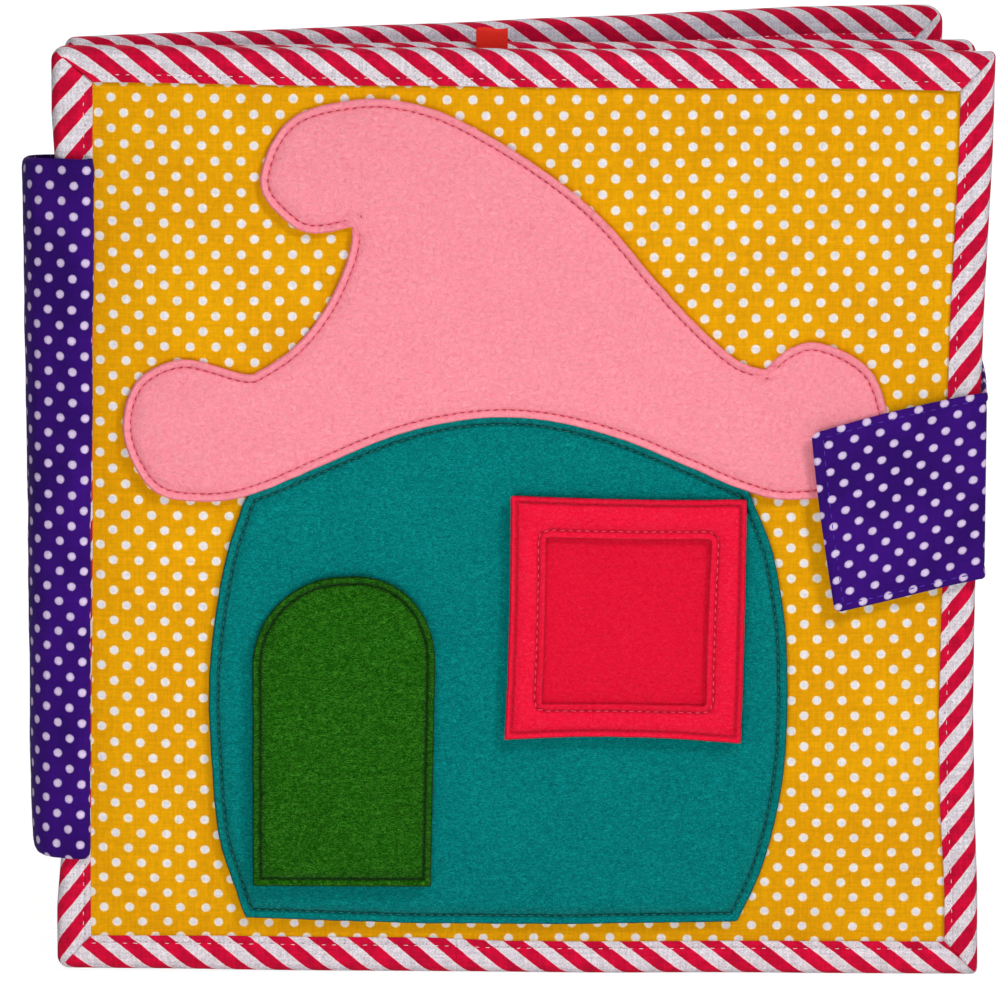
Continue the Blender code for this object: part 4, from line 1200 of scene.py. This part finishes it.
for name, node, outlines, back, seams, material, slot, body, under, seed in (
    ("door_back", "door_back_felt", [door_edge], FLAP_BACK, [DOOR_SEAM], green_felt, "green_felt", "door",
     "cottage_wall", 11),
    ("door_front", "door_front_felt", [door_edge], FLAP_FRONT, [DOOR_SEAM], green_felt, "green_felt", "door",
     "door_back", 13),
    ("window_back", "window_backing_felt", [window_edge], FLAP_BACK, [WINDOW_SEAM], shaded_red_felt, "red_felt",
     "window", "cottage_wall", 15),
    ("window_frame", "window_frame_felt", [window_edge, opening_edge], FLAP_FRONT, [WINDOW_SEAM, OPENING_SEAM],
     red_felt, "red_felt", "window", "window_back", 17),
):
    if back == FLAP_BACK:
        outlines = [around(outlines[0] + BACK_WIDER * normals(outlines[0]), EDGE_STEP)]
    made, area, size = felt(name, outlines, flap_level(back), seams, FLAP_FELT, material, seed,
                            groove=0.7, broad=0.5, puff=0.2)
    dress(made, slot, node)
    hang(made)
    print(name, "has", len(made.data.polygons), "faces")

for name, outline, reach, inward, thread, body in (
    ("door_stitches", door_edge, DOOR_SEAM, 1, green_thread, "door"),
    ("window_stitches", window_edge, WINDOW_SEAM, 1, red_thread, "window"),
    ("opening_stitches", opening_edge, OPENING_SEAM, -1, pale_red_thread, "window"),
):
    hang(felt_seam(name, outline, reach, flap_level(FLAP_FRONT), thread, inward, sunk=FLAP_SEAM_SUNK))

# %% [markdown]
# ## The spine wrap
# A strip of purple cotton wraps the spine and is sewn over both covers. It is stuffed lightly, so it looks like a
# flattened tube, a little thicker at the top. It bends where the covers turn, so it is made in two pieces that
# meet at the back of the spine, and each is blended between its cover and the spine.

# %% Wrap the spine
WRAP_FOOT = 26.6 * MM
WRAP_TALL = 159.1 * MM
WRAP_BULGE = ((0, 0.05, 0.2, 0.43, 0.64, 0.85, 1), (6.7, 7.1, 7.2, 7.2, 7.5, 7.8, 8.2))
TOP_SLOPE = 2.6 * MM
WRAP_CLOTH = 0.8 * MM
SQUARE = 0.8
WRAP_DEPTH = (REAR_FOLD.y - FRONT_FOLD.y) / 2
WRAP_SHIFT = (-1.7, 1.0)
FLAP_REACH, FLAP_WIDENS = 6.5, 2.0
FLAP_POINTS, HEM_POINTS = 11, 3
END_ROUND, END_TUCK = 2.6 * MM, 1.3 * MM
FLAP_SECTION = (
    (-1.5, 0.55), (-0.75, 0.5), (-0.2, 0.2), (0, -0.25), (-0.15, -0.75), (-0.6, -1.15), (-1.3, -1.4),
)


def wrap_section(share, front):
    """The wrap from its flap's edge to the back of the spine, seen from above, at a share of its height.
    It starts at the fold, x runs over the cover, and y is behind the cover's face."""
    bulge = np.interp(share, *WRAP_BULGE)
    reach = FLAP_REACH + FLAP_WIDENS * share
    full = 1.15 + 0.3 * share if front else 0.5
    line = [(reach + x, y if y > 0 else y * full) for x, y in FLAP_SECTION]
    for x, y in ((0.62, -1.55), (0.42, -1.45), (0.22, -1.1), (0.05, -0.62)):
        line.append((reach * x, y * full))
    for k in range(1, 15):
        turn = math.pi / 2 * k / 14
        ease = min(k / 4, 1)
        line.append((-bulge * math.sin(turn) ** SQUARE, WRAP_DEPTH / MM * (1 - math.cos(turn) ** SQUARE)
                     - 0.35 * full * (1 - ease)))
    return np.array(line) * MM


def wrap_piece(name, fold, turn, front, nodes, seed):
    """Half of the wrap, from one cover to the back of the spine. turn is how far that cover is fanned open."""
    shares = np.concatenate([[0, 0.003, 0.008], np.linspace(0.016, 0.984, 70), [0.992, 0.997, 1]])
    points, uvs = [], []
    for share in shares:
        line = wrap_section(share, front)
        way = way_along(line)
        end = min(share, 1 - share) * WRAP_TALL
        tuck = END_TUCK * (1 - math.sqrt(1 - max(1 - end / END_ROUND, 0) ** 2))
        outward = np.stack([-np.gradient(line[:, 1]), np.gradient(line[:, 0])], -1)
        outward /= np.linalg.norm(outward, axis=1, keepdims=True)
        z = WRAP_FOOT + share * WRAP_TALL
        flat = np.stack([line[:, 0], line[:, 1], np.full(len(line), z)], -1)
        soft = 0.3 * MM * ripple(flat, 16 * MM, seed) + 0.12 * MM * ripple(flat, 6 * MM, seed + 5)
        free = np.where(np.arange(len(line)) < HEM_POINTS, 0.2, 1)
        line = line + outward * (soft - tuck)[:, None] * free[:, None]
        scallop = 0.25 * MM * noise.noise(Vector((share * WRAP_TALL / (14 * MM), seed, 0)))
        line[:FLAP_POINTS, 0] += scallop
        behind = line[:, 1] if front else 2 * WRAP_DEPTH - line[:, 1]
        fall = TOP_SLOPE * np.clip(behind / (2 * WRAP_DEPTH), 0, 1) * max(share - 0.8, 0) / 0.2
        points.append(np.stack([line[:, 0], line[:, 1] if front else -line[:, 1], z - fall], -1))
        uvs.append(np.stack([way / MM, np.full(len(line), z / MM)], -1) + WRAP_SHIFT)
    points = np.array(points)
    x, y = points[..., 0].copy(), points[..., 1].copy()
    angle = turn * np.clip(x / (2 * MM) + 0.5, 0, 1)
    points[..., 0] = x * np.cos(angle) - y * np.sin(angle) + fold.x
    points[..., 1] = x * np.sin(angle) + y * np.cos(angle) + fold.y
    rows, columns = points.shape[:2]
    made = mesh_object(name, points.reshape(-1, 3), grid_faces(rows, columns, turned=not front),
                       np.array(uvs).reshape(-1, 2))
    apply_modifier(made, "SOLIDIFY", thickness=WRAP_CLOTH, offset=-1)
    finish_cloth(made, purple_cotton)
    dress(made, "purple_dot_cotton", *nodes)
    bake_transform(made)


ROLL_SIDES = 28
ROLL_END = 0.04


def spine_roll():
    """The wadding in the wrap: a roll that is flat where it meets the leaves, and rounded at its ends."""
    stations = np.concatenate([[0, 0.004, 0.012, 0.025], np.linspace(0.04, 0.96, 40), [0.975, 0.988, 0.996, 1]])
    points = []
    for share in stations:
        end = min(share, 1 - share) / ROLL_END
        size = math.sqrt(max(1 - (1 - min(end, 1)) ** 2, 0.05))
        bulge = (np.interp(share, *WRAP_BULGE) - 1.25) * MM * size
        depth = (WRAP_DEPTH - 1.4 * MM) * size
        z = WRAP_FOOT + 4 * MM + share * (WRAP_TALL - 10 * MM)
        for k in range(ROLL_SIDES):
            turn = 2 * math.pi * k / ROLL_SIDES
            across = -bulge * max(math.sin(turn), 0) - 0.25 * MM * (1 if math.sin(turn) <= 0 else 0)
            points.append((FRONT_FOLD.x + across, FRONT_FOLD.y + WRAP_DEPTH - depth * math.cos(turn), z))
    points = np.array(points)
    points[:, :2] += 0.12 * MM * np.stack([ripple(points, 9 * MM, 4), ripple(points, 9 * MM, 8)], -1)
    made = mesh_object("spine_roll", points, tube_faces(len(stations), ROLL_SIDES))
    bpy.ops.object.mode_set(mode="EDIT")
    bpy.ops.mesh.select_all(action="SELECT")
    bpy.ops.mesh.normals_make_consistent(inside=False)
    bpy.ops.object.mode_set(mode="OBJECT")
    finish_cloth(made, wadding)
    dress(made, "wadding", "spine_padding", body="spine")


def spine_inside():
    """The wrap's cotton on the inner side of the roll, which shows between the leaves of the open book."""
    near, far = FRONT_FOLD.y + 1.5 * MM, REAR_FOLD.y - 1.5 * MM
    low, high = WRAP_FOOT + 4.5 * MM, WRAP_FOOT + WRAP_TALL - 6.5 * MM
    columns, rows = 12, 60
    grid = np.meshgrid(np.linspace(near, far, columns), np.linspace(low, high, rows), indexing="ij")
    y, z = (places.ravel() for places in grid)
    points = np.stack([np.full_like(y, FRONT_FOLD.x + 0.12 * MM), y, z], -1)
    made = mesh_object("spine_inner_cotton", points, grid_faces(columns, rows), np.stack([y, z], -1) / MM)
    apply_modifier(made, "SOLIDIFY", thickness=0.25 * MM, offset=-1)
    finish_cloth(made, purple_cotton)
    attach(made, "spine")


spine_roll()
spine_inside()
wrap_piece("spine_wrap_front", FRONT_FOLD, 0, True, ("spine_wrap_front_flap", "spine_wrap"), 2)
wrap_piece("spine_wrap_rear", REAR_FOLD, REAR_FAN, False, ("spine_wrap_rear_flap",), 6)

# %% [markdown]
# ## The strap
# The strap is two layers of the purple cotton, hemmed and topstitched. It is sewn to the back cover, runs round
# the fore edge and folds over the front, where its free end is held by hook-and-loop tape. Each stretch is its
# own piece.

# %% Shape the strap
STRAP_TILT = math.radians(12.6)
STRAP_HALF = 20.6
STRAP_CLOTH = 1.25 * MM
STRAP_FACE = 0.66
STRAP_FOLD = joint_at["strap_tab_fold"]
FOLD_HEIGHT = 112.9 * MM
TAB_LIFT = math.radians(6.3)
TAB_LENGTH = 35.1
TAB_SKEW = math.tan(math.radians(7.8))
TAB_CORNER = 1.4
FOLD_ROUND = 1.3
FOLD_REACH = 3.5
FOLD_STEPS = 8
FOLD_TURN = 1.36
FOLD_PULL = 1.5
SIDE_PULL, SIDE_PULL_AT, SIDE_PULL_REACH = 0.9, 24, 12
STRAP_PRINT = (0.98, -0.16, 1.14)
STRAP_SHIFT = (-1.2, 1.2)
ARC = 207.4 * MM
ARC_FIRST = -math.acos((STRAP_FOLD.x - REAR_FOLD.x) / ARC)
ARC_LAST = REAR_FAN - math.radians(0.4)
ARC_STEPS = 40
SIDE_LENGTH = ARC * (ARC_LAST - ARC_FIRST)
ACROSS = np.array([-1, -0.985, -0.955, -0.925, -0.9, -0.87, -0.8, -0.65, -0.45, -0.2, 0, 0.2, 0.45, 0.65, 0.8,
                   0.87, 0.9, 0.925, 0.955, 0.985, 1])


def strap_face(from_edge):
    """The height of the strap's face over its middle, in mm, for a distance in mm from its nearest edge."""
    rounding = 0.5 * np.clip(1 - from_edge / 0.6, 0, 1) ** 2
    hem = 0.22 * np.exp(-((from_edge - 1.0) / 1.4) ** 2)
    seam = 0.3 * np.exp(-((from_edge - 2.3) / 0.45) ** 2)
    return STRAP_FACE + hem - seam - rounding


STRAP_EDGE = ACROSS * STRAP_HALF / math.cos(STRAP_TILT)
STRAP_HEM = strap_face((1 - np.abs(ACROSS)) * STRAP_HALF) - STRAP_FACE


def strap_uv(run, rise_from_fold):
    """The strap's own mm, for mm run along its horizontal and mm above the fold's middle."""
    u = run * math.cos(STRAP_TILT) + rise_from_fold * math.sin(STRAP_TILT)
    v = -run * math.sin(STRAP_TILT) + rise_from_fold * math.cos(STRAP_TILT)
    return np.stack([u, v], -1)


def strap_object(name, points, uv, node, body=None):
    """A stretch of strap from its outer face's grid of points. Its print is drawn a little askew, as in the photo."""
    columns, rows = points.shape[:2]
    flat = uv.reshape(-1, 2)
    wide, skew, tall = STRAP_PRINT
    printed = np.stack([wide * (flat[:, 0] + skew * flat[:, 1]), tall * flat[:, 1]], -1) + STRAP_SHIFT
    made = mesh_object(name, points.reshape(-1, 3), grid_faces(columns, rows), printed)
    apply_modifier(made, "SOLIDIFY", thickness=STRAP_CLOTH, offset=-1)
    finish_cloth(made, purple_cotton)
    dress(made, "purple_dot_cotton", node, body=body)
    return made


def fold_lines(first, last):
    """Lines across the outside of the fold, from one of its steps to another, as their places and their uv."""
    start = -math.pi / 2 + TAB_LIFT
    reach = (STRAP_HEM + FOLD_ROUND) * MM
    grid, uvs = [], []
    for step in range(first, last + 1):
        turn = start + (ARC_FIRST - start) * step / FOLD_STEPS
        grid.append(np.stack([STRAP_FOLD.x - FOLD_PULL * MM + reach * math.cos(turn),
                              STRAP_FOLD.y + reach * math.sin(turn), FOLD_HEIGHT + STRAP_EDGE * MM], -1))
        uvs.append(strap_uv(np.full_like(STRAP_EDGE, FOLD_ROUND * (turn - start)), STRAP_EDGE))
    return grid, uvs


def tab_shape():
    """The free end's outer face, from its hemmed end to the outside of the fold."""
    corner = np.clip((np.abs(ACROSS) * STRAP_HALF - STRAP_HALF + TAB_CORNER) / TAB_CORNER, 0, 1)
    end = TAB_LENGTH + STRAP_EDGE * TAB_SKEW - TAB_CORNER * (1 - np.sqrt(1 - corner ** 2))
    end += 0.4 * (1 - ACROSS ** 2)
    shares = np.concatenate([[0, 0.012, 0.028, 0.05, 0.065, 0.085, 0.12], np.linspace(0.16, 1, 26)])
    grid, uvs = [], []
    for share in shares:
        run = -end * (1 - share)
        from_edge = np.minimum((1 - np.abs(ACROSS)) * STRAP_HALF, end + run)
        near_fold = np.exp(-(run / FOLD_REACH) ** 2)
        face = strap_face(from_edge) + (FOLD_ROUND - STRAP_FACE) * near_fold
        bow = 0.45 * (1 - (run / TAB_LENGTH * 2 + 1) ** 2) * (ACROSS > 0.9)
        up = STRAP_EDGE + run * math.tan(STRAP_TILT) + bow
        flat = np.stack([run, up, up * 0], -1) * MM
        sag = 0.35 * ripple(flat, 14 * MM, 31) * (1 - near_fold) * np.clip(-run / 8, 0, 1)
        grid.append(np.stack([run, -(face + sag), up], -1) * MM)
        uvs.append(strap_uv(run, up))
    lifted = np.array(grid) @ np.asarray(Matrix.Rotation(TAB_LIFT, 3, "Z")).T
    lifted += np.array([STRAP_FOLD.x - FOLD_PULL * MM, STRAP_FOLD.y, FOLD_HEIGHT])
    fold, fold_uvs = fold_lines(1, FOLD_STEPS // 2)
    return np.concatenate([lifted, np.array(fold)]), np.array(uvs + fold_uvs)


def side_shape():
    """The strap's outer face round the fore edge, from the fold to the back cover."""
    grid, uvs = fold_lines(FOLD_STEPS // 2, FOLD_STEPS)
    for k in range(1, ARC_STEPS + 1):
        angle = ARC_FIRST + (ARC_LAST - ARC_FIRST) * k / ARC_STEPS
        run = ARC * (angle - ARC_FIRST) / MM
        near_fold = math.exp(-(run / FOLD_REACH) ** 2)
        up = STRAP_EDGE + run * math.tan(STRAP_TILT)
        flat = np.stack([np.full_like(up, run), up, up * 0], -1) * MM
        sag = 0.25 * ripple(flat, 13 * MM, 37) * (1 - near_fold)
        reach = ARC + (STRAP_HEM + STRAP_FACE + (FOLD_ROUND - STRAP_FACE) * near_fold + sag) * MM
        pulled = FOLD_PULL + SIDE_PULL * math.exp(-((run - SIDE_PULL_AT) / SIDE_PULL_REACH) ** 2)
        pulled = pulled * MM * (1 - np.clip((run - 40) / 30, 0, 1))
        grid.append(np.stack([REAR_FOLD.x + reach * math.cos(angle) - pulled, REAR_FOLD.y + reach * math.sin(angle),
                              FOLD_HEIGHT + up * MM], -1))
        uvs.append(strap_uv(np.full_like(up, run + FOLD_ROUND * FOLD_TURN), up))
    return np.array(grid), np.array(uvs)


tab_grid, tab_uv = tab_shape()
tab = strap_object("strap_front", tab_grid, tab_uv, "strap_tab")
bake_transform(tab)
side_grid, side_uv = side_shape()
side = strap_object("strap_fore_edge", side_grid, side_uv, "strap_side")
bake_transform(side)

# %% The strap's sewn end on the back cover
SEWN_LENGTH = 26.0
SEWN_BEND = ((206.25, 2.95), (206.15, 3.5), (205.8, 4.05), (205.2, 4.5), (204.2, 4.75))
EDGE_HEIGHT = FOLD_HEIGHT + SIDE_LENGTH * math.tan(STRAP_TILT)


def sewn_shape():
    """The strap's far end over the back cover's edge and panel, in the back leaf's frame."""
    path = list(SEWN_BEND) + [(x, None) for x in np.linspace(202.5, 205 - SEWN_LENGTH, 22)]
    grid, uvs = [], []
    for x, level in path:
        run = LEAF_WIDE - x
        up = EDGE_HEIGHT / MM + STRAP_EDGE + run * math.tan(STRAP_TILT)
        if level is None:
            panel_level = 2.1 + OUTER_CROWN / MM * crown(np.full_like(up, x * MM), up * MM)
            level = np.maximum(3.4 if run < 7.3 else 0, panel_level) + 1.35
        end = np.clip((SEWN_LENGTH - run) / 0.8, 0, 1)
        face = level + STRAP_HEM - 0.5 * (1 - end) ** 2
        grid.append(np.stack([np.full_like(up, x), face, up], -1) * MM)
        uvs.append(strap_uv(np.full_like(up, SIDE_LENGTH / MM + run + 3), up - FOLD_HEIGHT / MM))
    grid = np.array(grid)
    placed = np.array([tuple(back_frame @ Vector(point)) for point in grid.reshape(-1, 3)]).reshape(grid.shape)
    return placed, np.array(uvs)


sewn_grid, sewn_uv = sewn_shape()
strap_object("strap_sewn", sewn_grid, sewn_uv, "strap_sewn_end", body="back_cover")


def strap_stitches(name, grid, end_row=None, first=0, last=None):
    """Topstitching along both edges of a stretch of strap, and across its end if that has a row of points."""
    lines = [grid[first:last, 3], grid[first:last, -4]]
    if end_row is not None:
        lines.append(grid[end_row, 3:-3])
    parts = []
    for line in lines:
        places, ahead = walk(line, 2.4 * MM, closed=False)
        outward = []
        for place in places:
            i, j = divmod(int(np.abs(grid - place).sum(-1).argmin()), grid.shape[1])
            i, j = min(max(i, 1), grid.shape[0] - 2), min(max(j, 1), grid.shape[1] - 2)
            out = np.cross(grid[i + 1, j] - grid[i - 1, j], grid[i, j + 1] - grid[i, j - 1])
            outward.append(out / np.linalg.norm(out))
        parts.append((places, ahead, np.array(outward)))
    centres, alongs, outs = (np.concatenate(kind) for kind in zip(*parts))
    return sew(name, centres, alongs, outs, purple_thread, None, length=1.3 * MM, thick=0.24 * MM, arch=0.8)


tab_seam = strap_stitches("strap_front_stitches", tab_grid, 4, first=4, last=-6)
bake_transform(tab_seam)
side_seam = strap_stitches("strap_fore_edge_stitches", side_grid, first=6)
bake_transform(side_seam)
sewn_seam = strap_stitches("strap_sewn_stitches", sewn_grid, -3)
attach(sewn_seam, "back_cover")
print("faces of the strap's stitches:", [len(seam.data.polygons) for seam in (tab_seam, side_seam, sewn_seam)])

# %% [markdown]
# ## Hook-and-loop patches
# One patch of fuzzy loops is sewn to the cover, and one of stiff hooks to the back of the strap. Seen close, the
# loops are a tangle of fine threads and the hooks are rows of small bent wires. Both are drawn coarser than real.

# %% Patches
PATCH_WIDE = 14.5
PATCH_TALL = 22.0
PATCH_CLOTH = 0.6 * MM
PATCH_FROM_FOLD = 9.4
PATCH_TOP = STRAP_HALF / math.cos(STRAP_TILT) - 8.5


def patch(name, level, side, place, material):
    """A patch's base cloth, sheared with the strap. Its points are run, level and rise from the fold's middle."""
    runs = -np.linspace(PATCH_FROM_FOLD, PATCH_FROM_FOLD + PATCH_WIDE, 16)
    rises = np.linspace(-PATCH_TALL, 0, 23)
    points = []
    for run in runs:
        for rise_here in rises:
            up = PATCH_TOP + run * math.tan(STRAP_TILT) + rise_here
            points.append((run * MM, side * level(run * MM, up * MM), up * MM))
    uv = [(point[0] / MM, point[2] / MM) for point in points]
    made = mesh_object(name, points, grid_faces(len(runs), len(rises), turned=side < 0), uv)
    apply_modifier(made, "SOLIDIFY", thickness=PATCH_CLOTH, offset=-1)
    finish_cloth(made, material, place, smooth_under=40)
    return made


def patch_threads(name, level, side, place, material, spacing, length, thick, arch, seed, wild):
    """Loops or hooks over a patch: small arched threads."""
    chance = random.Random(seed)
    centres, alongs = [], []
    for run in np.arange(PATCH_FROM_FOLD + 1.2, PATCH_FROM_FOLD + PATCH_WIDE - 0.8, spacing):
        for rise_here in np.arange(-PATCH_TALL + 1.2, -0.8, spacing):
            here = -run + wild * chance.uniform(-spacing, spacing) / 2
            up = PATCH_TOP + here * math.tan(STRAP_TILT) + rise_here + wild * chance.uniform(-spacing, spacing) / 2
            turn = chance.uniform(-math.pi, math.pi) * wild
            centres.append((here * MM, side * level(here * MM, up * MM), up * MM))
            alongs.append((math.sin(turn), 0, math.cos(turn)))
    outs = np.tile((0, side, 0), (len(centres), 1))
    return sew(name, np.array(centres), np.array(alongs), outs, material, place, length=length, thick=thick,
               arch=arch)


fold_on_leaf = front_frame.inverted() @ Vector((STRAP_FOLD.x, STRAP_FOLD.y, FOLD_HEIGHT))
fold_on_cover = front_frame @ Matrix.Translation((fold_on_leaf.x, 0, FOLD_HEIGHT))
tab_frame = Matrix.Translation((STRAP_FOLD.x, STRAP_FOLD.y, FOLD_HEIGHT)) @ Matrix.Rotation(TAB_LIFT, 4, "Z")


def cover_patch_level(x, z):
    """The loop patch's face on the front cover, for a place measured from the fold."""
    swell = OUTER_CROWN * float(crown(x + fold_on_leaf.x, z + fold_on_leaf.z))
    return PANEL_FACE + PATCH_CLOTH + 0.3 * MM + swell


def tab_back_level(x, z):
    """The hook patch's face, behind the strap."""
    return STRAP_CLOTH / 2 + PATCH_CLOTH + 0.15 * MM


loops = patch("loop_tape_base", cover_patch_level, -1, fold_on_cover, loop_tape)
dress(loops, "hook_and_loop", "loop_patch", body="front_cover")
fuzz = patch_threads("loop_tape_loops", cover_patch_level, -1, fold_on_cover, loop_tape, 1.0, 1.1 * MM,
                     0.14 * MM, 5.0, 51, 1)
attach(fuzz, "front_cover")
hooks = patch("hook_tape_base", tab_back_level, 1, tab_frame, hook_tape)
dress(hooks, "hook_and_loop", "hook_patch", body="strap_tab")
wires = patch_threads("hook_tape_hooks", tab_back_level, 1, tab_frame, hook_tape, 1.1, 0.55 * MM, 0.16 * MM, 5.0,
                      53, 0)
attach(wires, "strap_tab")
print("patches:", len(fuzz.data.polygons), "and", len(wires.data.polygons), "faces of loops and hooks")

# %% [markdown]
# ## The ribbon tab
# A short loop of red ribbon is caught in the top of the middle leaf and shows over the front cover.

# %% Fold the ribbon
RIBBON_MIDDLE = 95.7
RIBBON_WIDE = 7.0
RIBBON_CLOTH = 0.28 * MM
RIBBON_COLUMNS = 8
ribbon_path = [(4.05, 200.0), (4.08, 204.0), (4.12, 208.0), (4.1, 212.1), (3.98, 212.8), (3.72, 213.1),
               (3.46, 212.8), (3.36, 212.1), (3.4, 208.0), (3.42, 204.0), (3.42, 200.0)]
points, uv, walked = [], [], 0
for number, (level, z) in enumerate(ribbon_path):
    if number:
        walked += math.dist(ribbon_path[number - 1], (level, z))
    for k in range(RIBBON_COLUMNS):
        x = RIBBON_MIDDLE + RIBBON_WIDE * (k / (RIBBON_COLUMNS - 1) - 0.5)
        lean = 0.25 * math.sin(k * 0.9) * (z > 205)
        points.append((x * MM, -level * MM, (z + lean) * MM))
        uv.append((x, walked))
ribbon = mesh_object("ribbon_loop", points, grid_faces(len(ribbon_path), RIBBON_COLUMNS, turned=True), uv)
apply_modifier(ribbon, "SOLIDIFY", thickness=RIBBON_CLOTH, offset=-1)
finish_cloth(ribbon, red_ribbon, middle_frame)
dress(ribbon, "red_ribbon", "ribbon_tab", body="spine")
print("the ribbon is", round(walked, 1), "mm long")
